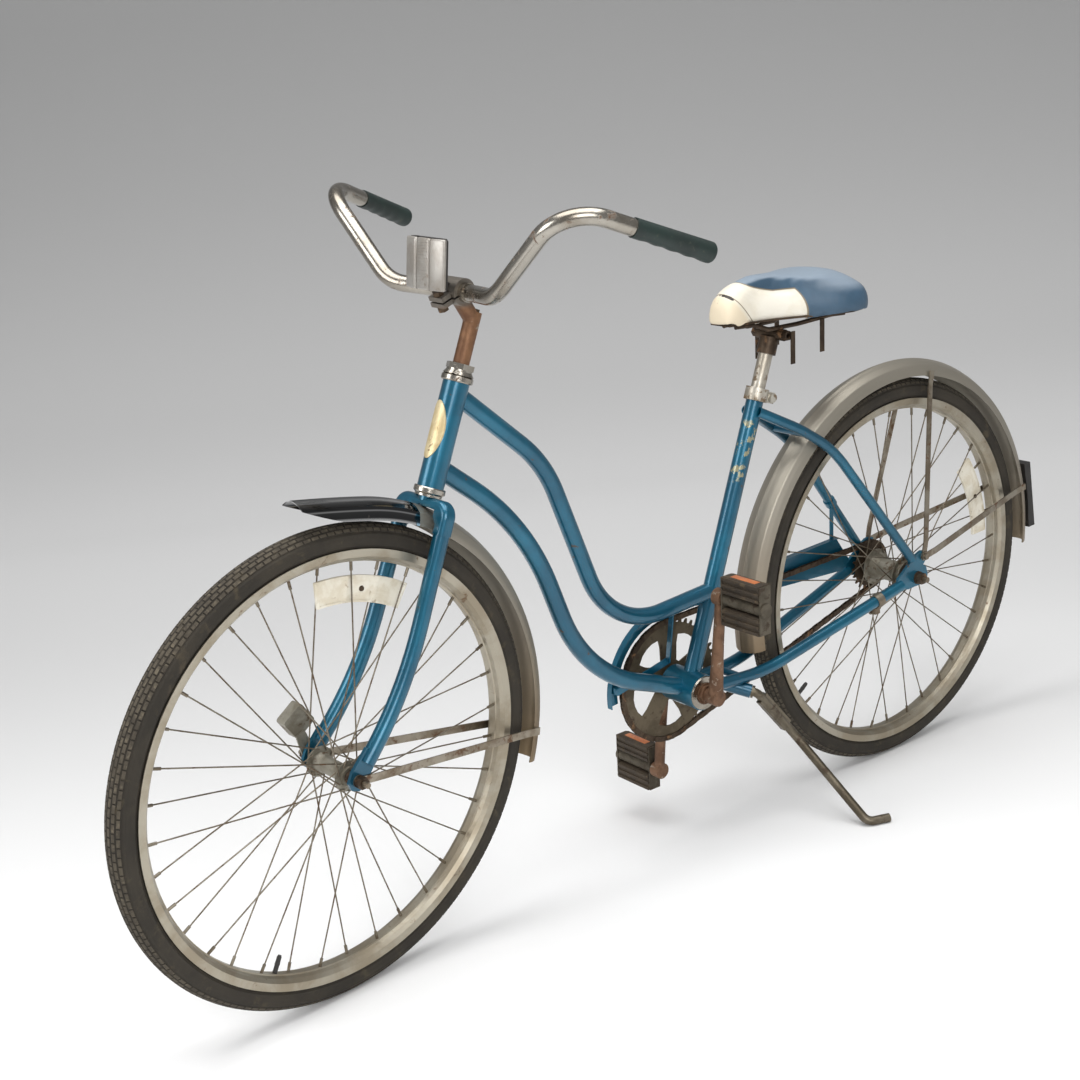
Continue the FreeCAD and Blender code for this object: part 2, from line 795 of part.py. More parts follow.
wide = float(saddle_half_width)
rise = float(saddle_height)
saddle_shape = [(0.0, 0.16, 0.55), (0.04, 0.25, 0.8), (0.16, 0.31, 0.97), (0.34, 0.42, 1.0),
                (0.52, 0.66, 0.96), (0.68, 0.92, 0.95), (0.8, 1.0, 0.98), (0.9, 0.93, 0.94),
                (0.97, 0.74, 0.78), (1.0, 0.58, 0.55)]
cushion = doc.addObject("Part::Loft", "saddle_cushion")
cushion.Sections = [saddle_section(t, wide * w, rise * h) for t, w, h in saddle_shape]
cushion.Solid = True
add_node(cushion, "saddle_cushion")

pan = new_body("saddle_pan")
sketch = new_sketch(pan, "XY_Plane", saddle_base_z - plate_gap - pan_thick)
pan_share = 0.82
pan_half = [(saddle_nose_x - t * saddle_length, w * pan_share * saddle_half_width)
            for t, w, h in saddle_shape[1:-1]]
polygon(sketch, pan_half + [(x, -y) for x, y in reversed(pan_half)])
pad(pan, sketch, pan_thick)
add_node(pan, "saddle_pan")

pan_low = float(saddle_base_z) - float(plate_gap) - float(pan_thick)
post_end = seat_at(float(post_top))
clamp_sleeve = ring("clamp_sleeve", post_radius + 4, post_radius, 26, seat_at(float(post_top) - 26), seat_up)
clamp_bar_at = Vector(post_end.x - 4, 0, post_end.z + 5)
clamp_bar = cylinder("clamp_bar", 9, 56, clamp_bar_at - Y * 28, Y)
clamp_pins = [hex_nut("clamp_nut_a", 8, 4, 7, clamp_bar_at + Y * 28.2, Y),
              hex_nut("clamp_nut_b", 8, 4, 7, clamp_bar_at - Y * 35.2, Y)]
post_core = cylinder("post_core", post_radius, 26, seat_at(float(post_top) - 26), seat_up)
clamp_body = cut("clamp_body", fuse("clamp_blank", clamp_sleeve, clamp_bar), post_core)
rail_nose_x = float(saddle_nose_x) - 30
rail_high = pan_low - float(rail_radius) - 0.1
rail_low = clamp_bar_at.z + 12.6
rail_line = [(rail_nose_x, 12, rail_high), (rail_nose_x - 32, 18, rail_high),
             (clamp_bar_at.x + 30, 23, rail_low), (clamp_bar_at.x - 34, 24, rail_low),
             (clamp_bar_at.x - 78, 52, rail_high), (clamp_bar_at.x - 100, 58, rail_high)]
rails = solid_stays("rail", rail_line, [12, 20, 20, 12], rail_radius)
strap_bits = []
for side, tag in ((1, "a"), (-1, "b")):
    for x, y, top in ((clamp_bar_at.x - 8, 37, clamp_bar_at.z + 6), (clamp_bar_at.x - 62, 47.2, pan_low - 9)):
        at = Placement(Vector(x, side * y, top - 25), Rotation())
        strap_bits.append(box("strap_" + tag, 9, 1.6, 50, at))
add_node(group("saddle_clamp", clamp_body, *clamp_pins, *rails, *strap_bits), "saddle_clamp")

# Fork: steerer, crown over the fender, curved blades, flat tips
crown = new_body("fork_crown")
sketch = new_sketch(crown, "YZ_Plane")
leg_out = blade_top_y + blade_radius
leg_in = blade_top_y - blade_radius + 0.5
crown_z = -(cup_height + fit_gap + race_height)
leg_end = crown_z - crown_leg
bridge_z = crown_z - crown_bridge
polygon(sketch, [(-leg_out, leg_end), (-leg_out, crown_z), (leg_out, crown_z), (leg_out, leg_end),
                 (leg_in, leg_end), (leg_in, bridge_z - crown_gusset), (leg_in - crown_gusset, bridge_z),
                 (crown_gusset - leg_in, bridge_z), (-leg_in, bridge_z - crown_gusset), (-leg_in, leg_end)])
crown_block = pad(crown, sketch, 2 * crown_half_depth, symmetric=True)


def shoulder_edge(edge, centre):
    return abs(centre.y) > float(leg_out) - 0.1 and centre.z > crown_top - 0.1 and abs(centre.x) < 0.1


def crown_rim(edge, centre):
    on_face = abs(abs(centre.x) - float(crown_half_depth)) < 0.1
    return on_face and centre.z > float(leg_end) + 0.1


shoulder = fillet(crown, crown_block, blade_radius * 2, shoulder_edge)
fillet(crown, shoulder, crown_bridge * 0.46, crown_rim)
fender_space = cylinder("fender_space", fender_radius + fit_gap, 2 * fender_half + 3,
                        axle_local - Y * (float(fender_half) + 1.5), Y)
steerer_rod = cylinder("steerer_rod", steerer_radius, steerer_top - crown_top + 6,
                       Vector(0, 0, crown_top - 6), Z)
steerer_bore = cylinder("steerer_bore", quill_radius + 2 * shaft_gap, steerer_top - crown_top + 40,
                        Vector(0, 0, crown_top - 20), Z)

tip_mid = float(fork_tip_y) + float(fork_tip_thick) / 2
blade_knee_z = -260.7 * float(head_length) / 142
blade_end = axle_local + Vector(-8, 0, 23)
blades = []
for side, tag in ((1, "left"), (-1, "right")):
    points = [Vector(0, side * float(blade_top_y), crown_top - 30),
              Vector(0, side * (tip_mid - 3), blade_knee_z),
              Vector(blade_end.x, side * tip_mid, blade_end.z)]
    blade_bends = [bend_radius(points, blade_bend_share)]
    blades.append(bent_tube("blade_" + tag, points, blade_bends, blade_radius, tube_wall))


def fork_tip(name, side):
    body = new_body(name)
    sketch = new_sketch(body, "XZ_Plane", -side * (fork_tip_y + fork_tip_thick / 2))
    polygon(sketch, [(-16, 42), (0, 44), (13, 10), (14, -6), (6, -14), (-6, -14), (-13, -6), (-20, 20)])
    pad(body, sketch, fork_tip_thick, symmetric=True)
    hole = new_sketch(body, "XZ_Plane")
    circle(hole, 0, 0, front_axle_radius + shaft_gap)
    pocket(body, hole, 4 * fork_tip_y)
    body.Placement = Placement(axle_local, Rotation())
    return body


tips = [fork_tip("fork_tip_left", 1), fork_tip("fork_tip_right", -1)]
axle_core = cylinder("axle_core", front_axle_radius + shaft_gap, 200, axle_local - Y * 100, Y)
fork_blank = fuse("fork_blank", cut("fork_crown_cut", crown, fender_space), steerer_rod, *blades, *tips)
add_node(cut("fork", fork_blank, steerer_bore, axle_core), "fork", steerer_place)

# Stem with clamp, its expander and clamp bolts
bar_local = head_place.inverse().multVec(Vector(float(bar_x), 0, float(bar_z)))
neck_z = bar_local.z - 28
stem_path = [Vector(0, 0, steerer_top - 90), Vector(0, 0, neck_z), Vector(bar_local.x, 0, bar_local.z)]
stem_rod = sweep("stem_rod", stem_path, [14], quill_radius)
stem_boss = cylinder("stem_boss", quill_radius, neck_z + 10 - steerer_top, Vector(0, 0, steerer_top), Z)
clamp_outer = cylinder("stem_clamp", stem_clamp_radius, 2 * stem_clamp_half,
                       bar_local - Y * float(stem_clamp_half), Y)
ear_down = Vector(0.75, 0, -0.66)
ear_turn = Rotation(Y, math.degrees(math.atan2(0.66, 0.75)))
ear_at = Placement(bar_local + ear_down * (float(stem_clamp_radius) + 5), ear_turn)
stem_ears = box("stem_ears", 22, 26, 15, ear_at)
stem_slit = box("stem_slit", 44, 2 * stem_clamp_half + 2, 2.5, ear_at)
stem_bore = cylinder("stem_bore", bar_sleeve_radius, 2 * stem_clamp_half,
                     bar_local - Y * float(stem_clamp_half), Y)
ear_up = ear_turn.multVec(Z)
bolt_mid = bar_local + ear_down * (float(stem_clamp_radius) + 9)
ear_hole = cylinder("ear_hole", 4, 40, bolt_mid - ear_up * 20, ear_up)
draw_hole = cylinder("draw_hole", 4.2, 400, Vector(0, 0, steerer_top - 100), Z)
draw_top = neck_z + 8
draw_seat = cylinder("draw_seat", 9, 60, Vector(0, 0, draw_top), Z)
stem_blank = fuse("stem_blank", stem_rod, stem_boss, clamp_outer, stem_ears)
add_node(cut("stem", stem_blank, stem_bore, stem_slit, ear_hole, draw_hole, draw_seat), "stem", steerer_place)

clamp_bolt = fuse("clamp_bolt", prism("clamp_bolt_head", 7.5, 6, bolt_mid + ear_up * 7.5, ear_up),
                  cylinder("clamp_bolt_shank", 3.9, 24, bolt_mid - ear_up * 15.5, ear_up),
                  prism("clamp_bolt_nut", 7.5, 7, bolt_mid - ear_up * 14.5, ear_up))
draw_bolt = fuse("draw_bolt", prism("draw_head", 7.5, 6, Vector(0, 0, draw_top), Z),
                 cylinder("draw_shank", 4, draw_top - steerer_top + 110, Vector(0, 0, steerer_top - 110), Z))
wedge = cylinder("wedge", quill_radius, 19, Vector(0, 0, steerer_top - 110), Z)
add_node(group("stem_bolts", clamp_bolt, fuse("expander", draw_bolt, wedge)), "stem_bolts", steerer_place)

# Handlebar and grips, in the bike frame before steering
bar_centre = Vector(float(bar_x), 0, float(bar_z))
bar_half = [bar_centre + Vector(0, float(stem_clamp_half) + 21, 0), bar_centre + Vector(25, 103, 5),
            bar_centre + Vector(28, 233, 128), bar_centre + Vector(-162, 295, 54)]


def flip(p):
    return Vector(p.x, -p.y, p.z)


grip_way = (bar_half[3] - bar_half[2]).normalize()
grip_start = bar_half[3] - grip_way * float(grip_length)
bar_side = bar_half[:3] + [bar_half[3] - grip_way * 4]
bar_points = [flip(p) for p in reversed(bar_side)] + bar_side
bar_bends = [float(bar_bend_radius)] * 6
sleeve_half = stem_clamp_half + 8
sleeve = cylinder("bar_sleeve", bar_sleeve_radius, 2 * sleeve_half, bar_centre - Y * float(sleeve_half), Y)
bar_rod = sweep("bar_rod", bar_points, bar_bends, bar_radius)
bar_hollow = sweep("bar_hollow", bar_points, bar_bends, bar_radius - bar_wall)
add_node(cut("handlebar", fuse("bar_blank", bar_rod, sleeve), bar_hollow), "handlebar", steered)


def grip(name, side):
    # Rubber grip, axis along local Z, finger hollows on its underside.
    body = new_body(name)
    sketch = new_sketch(body, "XZ_Plane")
    hole = bar_radius + shaft_gap
    end = grip_length - 4 + plate_gap
    polygon(sketch, [(hole, 0), (grip_radius + 2, 0), (grip_radius + 2, 5), (grip_radius, 7),
                     (grip_radius, grip_length - 4), (grip_radius - 3, grip_length),
                     (2, grip_length), (2, end), (hole, end)])
    revolve(body, sketch)
    turn_z = Rotation(Z, grip_way)
    down = turn_z.inverted().multVec(Vector(0, 0, -1))
    tools = []
    for k in range(4):
        mid = Vector(0, 0, 26 + 22 * k) + Vector(down.x, down.y, 0).normalize() * (float(grip_radius) + 9.5)
        across = Vector(-down.y, down.x, 0).normalize()
        tools.append(cylinder(name + "_finger", 11, 60, mid - across * 30, across))
    cut_grip = cut(name + "_cut", body, *tools)
    cut_grip.Placement = Placement(grip_start, turn_z)
    if side > 0:
        return cut_grip
    obj = doc.addObject("Part::Mirroring", name + "_mirror")
    obj.Source = cut_grip
    obj.Normal = Y
    return obj


add_node(group("grips", grip("grip_left", 1), grip("grip_right", -1)), "grips", steered)

# Front reflector on a bracket ahead of the clamp
lamp_place = Placement(Vector(float(bar_x) + 46, 0, float(bar_z) + 41), Rotation(Y, -5))
case = new_body("lamp_case")
sketch = new_sketch(case, "YZ_Plane")
polygon(sketch, [(-33, -30), (-30, -33), (30, -33), (33, -30), (33, 30), (30, 33), (-30, 33), (-33, 30)])
case_pad = pad(case, sketch, 10, reverse=True)
fillet(case, case_pad, 3, lambda e, c: c.x < -9.9)
case.Placement = lamp_place
lamp_back = lamp_place.multVec(Vector(-10, 0, -12))
clamp_front = Vector(float(bar_x) + 6, 0, float(bar_z) + 5)
lamp_arm_at = Placement((lamp_back + clamp_front) * 0.5, Rotation(Vector(1, 0, 0), lamp_back - clamp_front))
lamp_arm = box("lamp_arm", (lamp_back - clamp_front).Length, 12, 3, lamp_arm_at)
bar_space = cylinder("bar_space", stem_clamp_radius + plate_gap, 2 * stem_clamp_half,
                     bar_centre - Y * float(stem_clamp_half), Y)
ear_place_bike = head_place.multiply(ear_at)
ear_space = box("ear_space", 23, 28, 16, ear_place_bike)
bolt_bike = head_place.multVec(bolt_mid)
bolt_way = head_place.Rotation.multVec(ear_up)
bolt_space = cylinder("bolt_space", 9, 40, bolt_bike - bolt_way * 20, bolt_way)
add_node(cut("front_reflector_case", fuse("lamp_blank", case, lamp_arm), bar_space, ear_space, bolt_space),
         "front_reflector_case", steered)
lens = new_body("front_reflector_lens")
sketch = new_sketch(lens, "YZ_Plane", plate_gap)
polygon(sketch, [(-31, -31), (31, -31), (31, 31), (-31, 31)])
pad(lens, sketch, 3)
for edge_y in (-10.5, 10.5):
    groove = new_sketch(lens, "YZ_Plane", plate_gap + 2)
    polygon(groove, [(edge_y - 0.6, -32), (edge_y + 0.6, -32), (edge_y + 0.6, 32), (edge_y - 0.6, 32)])
    lane = pocket(lens, groove, 4, symmetric=False)
    lane.Reversed = True
add_node(lens, "front_reflector_lens", steered.multiply(lamp_place))


# Fenders: half-round section turned about the axle
def fender(name, start, sweep_angle, nosed):
    body = new_body(name)
    sketch = new_sketch(body, "XY_Plane")
    mid = fender_radius - fender_half
    inner = fender_half - fender_thick
    centre = Vector(float(mid), 0, 0)
    reach = float(fender_edge) - float(mid)
    for radius in (float(fender_half), float(inner)):
        angle = math.acos(reach / radius)
        arc = Part.ArcOfCircle(Part.Circle(centre, Z, radius), -angle, angle)
        sketch.addGeometry(arc, False)
    ends = [sketch.Geometry[k].StartPoint for k in (0, 1)] + [sketch.Geometry[k].EndPoint for k in (0, 1)]
    sketch.addGeometry(Part.LineSegment(ends[0], ends[1]), False)
    sketch.addGeometry(Part.LineSegment(ends[2], ends[3]), False)
    for first, spot, second, other in ((0, 1, 2, 1), (1, 1, 2, 2), (0, 2, 3, 1), (1, 2, 3, 2)):
        sketch.addConstraint(Sketcher.Constraint("Coincident", first, spot, second, other))
    sketch.addConstraint(Sketcher.Constraint("Coincident", 0, 3, 1, 3))
    sketch.addConstraint(Sketcher.Constraint("PointOnObject", 0, 3, -1))
    fix(sketch, "DistanceX", mid, -1, 1, 0, 3)
    fix(sketch, "Radius", fender_half, 0)
    fix(sketch, "Radius", inner, 1)
    fix(sketch, "DistanceX", fender_edge, -1, 1, 2, 1)
    fix(sketch, "DistanceX", fender_edge, -1, 1, 3, 1)
    sketch.addConstraint(Sketcher.Constraint("Vertical", 2))
    sketch.addConstraint(Sketcher.Constraint("Vertical", 3))
    revolve(body, sketch, sweep_angle, reverse=True)
    if nosed:
        nose = new_sketch(body, "XZ_Plane")
        polygon(nose, [(fender_radius + 3, -4), (fender_edge - 6, -4), (fender_edge - 6, 42)])
        pocket(body, nose, 4 * fender_half)
    return Placement(Vector(), Rotation(Vector(0, -1, 0), float(start))), body


front_turn, front_fender = fender("front_fender", front_fender_start, front_fender_sweep, True)
add_node(front_fender, "front_fender", front_wheel.multiply(front_turn))
rear_turn, rear_fender = fender("rear_fender", rear_fender_start, rear_fender_sweep, False)
add_node(rear_fender, "rear_fender", rear_turn)


def strap(name, side, start_y, reach, eye_radius):
    # Flat stay along local X from an eye to the fender side.
    body = new_body(name)
    sketch = new_sketch(body, "XY_Plane")
    end_y = fender_half + plate_gap
    profile = [(-6, start_y), (27, start_y), (reach - 26, end_y), (reach, end_y),
               (reach, end_y + strap_thick), (reach - 26, end_y + strap_thick),
               (27, start_y + strap_thick), (-6, start_y + strap_thick)]
    polygon(sketch, [(x, side * y) for x, y in profile])
    pad(body, sketch, strap_width, symmetric=True)
    round_eye = new_sketch(body, "XZ_Plane", -side * (start_y + strap_thick / 2))
    circle(round_eye, 0, 0, eye_radius + 4.5)
    pad(body, round_eye, strap_thick, symmetric=True)
    hole = new_sketch(body, "XZ_Plane")
    circle(hole, 0, 0, eye_radius)
    pocket(body, hole, 4 * start_y)
    return body


def pointed(base, angle):
    return Placement(base, Rotation(Vector(0, -1, 0), angle))


stay_reach = fender_edge + 9
front_stays = []
for side, tag in ((1, "left"), (-1, "right")):
    body = strap("front_stay_" + tag, side, fork_tip_y + fork_tip_thick, stay_reach,
                 front_axle_radius + shaft_gap)
    body.Placement = pointed(Vector(), 189)
    front_stays.append(body)
add_node(group("front_fender_stays", *front_stays), "front_fender_stays", front_wheel)

rear_stays = []
stay_bolts = []
stay_start = dropout_y + dropout_thick
for side, tag in ((1, "left"), (-1, "right")):
    for angle, lift, order in ((101.0, 0, "a"), (166.0, 1, "b")):
        way = pointed(Vector(), angle).multVec(Vector(float(stay_reach), 0, 0)) - eyelet
        body = strap("rear_stay_%s_%s" % (tag, order), side, stay_start + lift * (strap_thick + plate_gap),
                     way.Length, 2.6)
        body.Placement = pointed(eyelet, math.degrees(math.atan2(way.z, way.x)))
        rear_stays.append(body)
    head_y = float(stay_start) + 2 * float(strap_thick) + 2 * float(plate_gap)
    stay_bolts.append(prism("stay_bolt_" + tag, 5.5, 4, eyelet + Y * (side * head_y), Y * side))
add_node(group("rear_fender_stays", *rear_stays, *stay_bolts), "rear_fender_stays")

# Rear reflector on the tail of the rear fender
tail_angle = float(rear_fender_start) + float(rear_fender_sweep) - 13.5
tail_place = pointed(Vector(), tail_angle)
tail_case = new_body("tail_case")
sketch = new_sketch(tail_case, "XY_Plane")
tail_back = fender_radius + 12
polygon(sketch, [(fender_radius - 2, -20), (tail_back, -22), (tail_back, 22), (fender_radius - 2, 20)])
pad(tail_case, sketch, 124, symmetric=True)
tail_space = cylinder("tail_space", fender_radius + plate_gap, 4 * fender_half,
                      Y * (-2 * float(fender_half)), Y)
add_node(cut("rear_reflector_cut", tail_case, tail_space), "rear_reflector_case", tail_place)
tail_lens = new_body("rear_reflector_lens")
sketch = new_sketch(tail_lens, "XY_Plane")
polygon(sketch, [(tail_back, -19), (tail_back + 4, -17), (tail_back + 4, 17), (tail_back, 19)])
pad(tail_lens, sketch, 112, symmetric=True)
add_node(tail_lens, "rear_reflector_lens", tail_place)

# Tyres, rims, spokes and spoke reflectors
rim_inside = root(tyre_section * tyre_section - (tyre_radius - tyre_section - rim_edge_radius)
                  * (tyre_radius - tyre_section - rim_edge_radius)) + fit_gap
rim_outside = rim_inside + rim_wall
bed = rim_edge_radius - rim_depth
rim_profile = [(rim_edge_radius, rim_inside), (bed + 6, rim_inside - 1), (bed + 1.9, rim_inside - 5.2),
               (bed + 0.3, 0)]
rim_outer = [(bed - 1.7, rim_rib_half + 1), (bed, rim_inside - 4.4), (bed + 4.5, rim_outside - 1),
             (rim_edge_radius, rim_outside)]
rib = bed - 1.7 - rim_rib_height


def wheel_set(prefix, local, flange_radius, flange_y, valve_angle, reflector_angle):
    half = [(rib, rim_rib_half)] + rim_outer + rim_profile[:3]
    rim = turned_body(prefix + "_rim", [(rib, -rim_rib_half)] + half + [rim_profile[3]]
                      + [(r, -y) for r, y in reversed(rim_outer + rim_profile[:3])])
    add_node(rim, prefix + "_rim", local)

    outer = doc.addObject("Part::Torus", prefix + "_tyre_outer")
    bind(outer, "Radius1", tyre_radius - tyre_section)
    bind(outer, "Radius2", tyre_section)
    inner = doc.addObject("Part::Torus", prefix + "_tyre_inner")
    bind(inner, "Radius1", tyre_radius - tyre_section)
    bind(inner, "Radius2", tyre_section - tyre_wall)
    for torus in (outer, inner):
        torus.Placement = along(Vector(), Y)
    mouth = cylinder(prefix + "_mouth", rim_edge_radius - 3.5, 100, Vector(0, -50, 0), Y)
    casing = cut(prefix + "_casing", outer, inner, mouth)
    way = Vector(math.cos(math.radians(valve_angle)), 0, math.sin(math.radians(valve_angle)))
    stem_end = float(rib) - float(plate_gap) - float(valve_length)
    valve = cylinder(prefix + "_valve", valve_radius, valve_length, way * stem_end, way)
    add_node(group(prefix + "_tyre", casing, valve), prefix + "_tyre", local)

    def spoke(start, end):
        way = (end - start).normalize()
        thread = end - way * float(nipple_length)
        wire = Part.makeCylinder(float(spoke_radius), (thread - start).Length + 1, start, way)
        nipple = Part.makeCylinder(float(nipple_radius), float(nipple_length), thread, way)
        return wire.fuse(nipple).removeSplitter().Solids[0]

    per_side = int(round(float(spoke_count) / 2))
    pitch = 2 * math.pi / per_side
    hole_radius = float(flange_radius) - 3.5
    cross = math.radians(float(spoke_cross_angle))
    slope_in = float(flange_half) + float(spoke_radius) + 0.1
    slope_out = slope_in + 1.0
    spokes = []
    for side in (1, -1):
        for k in range(per_side):
            rim_turn = pitch * k + (pitch / 2 if side < 0 else 0)
            leading = k % 2 == 0
            hub_turn = rim_turn - cross if leading else rim_turn + cross
            y = side * (float(flange_y) + (slope_out if leading else -slope_in))
            start = Vector(hole_radius * math.cos(hub_turn), y, hole_radius * math.sin(hub_turn))
            end_radius = float(rib) - 0.3
            end = Vector(end_radius * math.cos(rim_turn), side * float(rim_rib_half) / 2,
                         end_radius * math.sin(rim_turn))
            spokes.append(spoke(start, end))
    add_node(plain(prefix + "_spokes", Part.makeCompound(spokes)), prefix + "_spokes", local)

    body = new_body(prefix + "_spoke_reflector")
    sketch = new_sketch(body, "XY_Plane")
    low = spoke_reflector_inner
    high = spoke_reflector_inner + spoke_reflector_height
    polygon(sketch, [(low, -spoke_reflector_half), (high, -spoke_reflector_half),
                     (high, spoke_reflector_half), (low, spoke_reflector_half)])
    revolve(body, sketch, spoke_reflector_arc, reverse=True)
    start = reflector_angle - float(spoke_reflector_arc) / 2
    add_node(body, prefix + "_spoke_reflector", local.multiply(pointed(Vector(), start)))


wheel_set("front", front_wheel, front_flange_radius, front_flange_y, -65, 105)
wheel_set("rear", still, rear_flange_radius, rear_flange_y, -35, 160)


# Front hub, axle, cones and nuts
def hub_half(bore, seat, seat_from, end, barrel, flange_radius, flange_y):
    root_radius = barrel + 2.5
    outside = flange_y + flange_half
    inside = flange_y - flange_half
    return [(bore, seat_from), (seat, seat_from), (seat, end), (barrel + 1.5, end), (root_radius, outside),
            (flange_radius, outside), (flange_radius, inside), (root_radius, inside),
            (root_radius, flange_y - 4), (barrel, flange_y - 13)]


cone_seat = front_cone_radius + fit_gap
front_hub = turned_body("front_hub", mirrored(hub_half(front_axle_radius + 3.5, cone_seat, front_flange_y - 3,
                                                       front_flange_y + 4, front_barrel_radius,
                                                       front_flange_radius, front_flange_y)))
add_node(front_hub, "front_hub", front_wheel)

front_stack = fork_tip_y + fork_tip_thick + strap_thick + washer_thick


def axle(name, radius, nut_face):
    # Round axle with a narrow neck outside each nut, ending in a free stub.
    neck_end = nut_face + axle_neck
    end = nut_face + axle_stub
    thin = radius - axle_neck_depth
    half = [(radius, nut_face), (thin, nut_face), (thin, neck_end), (radius, neck_end), (radius, end),
            (0, end)]
    return turned_body(name, mirrored(half))


add_node(axle("front_axle", front_axle_radius, front_stack + nut_height), "front_axle", front_wheel)

front_bits = []
front_cone = [(front_axle_radius, front_flange_y - 1), (front_cone_radius, front_flange_y - 1),
              (front_cone_radius, front_flange_y + 5), (front_cone_radius - 2, front_flange_y + 7),
              (front_cone_radius - 2, fork_tip_y), (front_axle_radius, fork_tip_y)]
for side, tag in ((1, "left"), (-1, "right")):
    front_bits.append(turned_body("front_cone_" + tag, [(r, side * y) for r, y in front_cone]))
    front_bits.append(hex_nut("front_nut_" + tag, front_nut_radius, front_axle_radius, nut_height,
                              Y * (side * float(front_stack)), Y * side))
front_bits.append(ring("front_washer", front_nut_radius, front_axle_radius, washer_thick,
                       Y * (float(front_stack) - float(washer_thick)), Y))
add_node(group("front_axle_hardware", *front_bits), "front_axle_hardware", front_wheel)

# Wheel turn counter on the right end of the front axle
counter_y = -(float(front_stack) - float(washer_thick))
arm_plate = new_body("counter_arm")
sketch = new_sketch(arm_plate, "XZ_Plane", front_stack - washer_thick / 2)
polygon(sketch, [(-8, -8), (8, -8), (10, 4), (18, 34), (4, 40), (-10, 6)])
pad(arm_plate, sketch, washer_thick, symmetric=True)
hole = new_sketch(arm_plate, "XZ_Plane")
circle(hole, 0, 0, front_axle_radius + shaft_gap)
pocket(arm_plate, hole, 4 * front_stack)
counter_case = new_body("counter_case")
sketch = new_sketch(counter_case, "XZ_Plane")
polygon(sketch, [(-18, -18), (18, -18), (18, 18), (-18, 18)])
case_pad = pad(counter_case, sketch, 18, symmetric=True)
fillet(counter_case, case_pad, 4, lambda e, c: abs(c.y) < 0.1)
counter_case.Placement = Placement(Vector(9, counter_y - float(washer_thick) - 9.2, 52), Rotation(Y, 35))
add_node(group("mileage_counter", arm_plate, counter_case), "mileage_counter", front_wheel)

# Coaster hub shell, driver with cog, brake cone, arm and axle hardware
shell_left = rear_flange_y + 8
shell_right = -(rear_flange_y + 6)
cone_gap = brake_cone_radius + fit_gap
driver_gap = driver_radius + fit_gap
shell_bore = rear_axle_radius + 5
flange_in = rear_flange_y - flange_half
flange_out = rear_flange_y + flange_half
barrel_end = rear_flange_y - 16
shell = [(shell_bore, 2 - rear_flange_y), (shell_bore, rear_flange_y), (cone_gap, rear_flange_y),
         (cone_gap, shell_left), (cone_gap + 3.5, shell_left), (cone_gap + 4, flange_out),
         (rear_flange_radius, flange_out), (rear_flange_radius, flange_in), (cone_gap + 4, flange_in),
         (rear_barrel_radius, barrel_end), (rear_barrel_radius, -barrel_end), (driver_gap + 6, -flange_in),
         (rear_flange_radius, -flange_in), (rear_flange_radius, -flange_out), (driver_gap + 6, -flange_out),
         (driver_gap + 3, shell_right), (driver_gap, shell_right), (driver_gap, 2 - rear_flange_y)]
add_node(turned_body("rear_hub", shell), "rear_hub")

rear_stack = dropout_y + dropout_thick + washer_thick
rear_nut_height = nut_height + 2
add_node(axle("rear_axle", rear_axle_radius, rear_stack + rear_nut_height), "rear_axle")

brake_y = rear_flange_y + 11
brake_cone = [(rear_axle_radius, rear_flange_y + 1), (brake_cone_radius, rear_flange_y + 1),
              (brake_cone_radius, rear_flange_y + 9), (brake_cone_radius - 3, brake_y),
              (rear_axle_radius, brake_y)]
rear_bits = [turned_body("brake_cone", brake_cone)]
left_from = brake_y + brake_thick
rear_bits.append(ring("rear_spacer", locknut_radius, rear_axle_radius, dropout_y - left_from,
                      Y * float(left_from), Y))
driver_end = -chain_y + 5
rear_bits.append(ring("rear_locknut", locknut_radius, rear_axle_radius, dropout_y - driver_end - fit_gap,
                      Y * -float(driver_end + fit_gap), -Y))
for side, tag in ((1, "left"), (-1, "right")):
    rear_bits.append(ring("rear_washer_" + tag, rear_nut_radius + 1, rear_axle_radius, washer_thick,
                          Y * (side * (float(rear_stack) - float(washer_thick))), Y * side))
    rear_bits.append(hex_nut("rear_nut_" + tag, rear_nut_radius, rear_axle_radius, rear_nut_height,
                             Y * (side * float(rear_stack)), Y * side))
add_node(group("rear_axle_hardware", *rear_bits), "rear_axle_hardware")

# Brake arm clipped to the left chain stay
clip_from = Vector(*chain_stay_line[1])
clip_to = Vector(*chain_stay_line[2])
clip_share = 0.82
clip_mid = clip_from + (clip_to - clip_from) * clip_share
stay_way = (clip_to - clip_from).normalize()
arm = new_body("brake_arm_plate")
sketch = new_sketch(arm, "XZ_Plane", -(brake_y + brake_thick / 2))
arm_z = clip_mid.z - float(chain_stay_radius) - 10
polygon(sketch, [(-12, -14), (0, -18), (clip_mid.x + 6, arm_z - 7), (clip_mid.x + 12, arm_z),
                 (clip_mid.x + 8, arm_z + 6), (16, 8), (8, 16), (-8, 16), (-16, 4)])
pad(arm, sketch, brake_thick, symmetric=True)
hole = new_sketch(arm, "XZ_Plane")
circle(hole, 0, 0, rear_axle_radius)
pocket(arm, hole, 4 * dropout_y)
clip_band = ring("clip_band", chain_stay_radius + 2, chain_stay_radius, 14, clip_mid - stay_way * 7, stay_way)
lug_y = float(brake_y) + float(brake_thick) + float(plate_gap)
lug_at = Vector(clip_mid.x, (lug_y + clip_mid.y) / 2, arm_z)
clip_lug = box("clip_lug", 12, clip_mid.y - lug_y, 10, Placement(lug_at, Rotation()))
stay_space = cylinder("stay_space", chain_stay_radius, 60, clip_mid - stay_way * 30, stay_way)
clip = cut("clip", fuse("clip_blank", clip_band, clip_lug), stay_space)
add_node(group("brake_arm", arm, clip), "brake_arm")


# Sprockets
def pitch_radius(teeth):
    return chain_pitch.value / 2 / math.sin(math.pi / teeth.value)


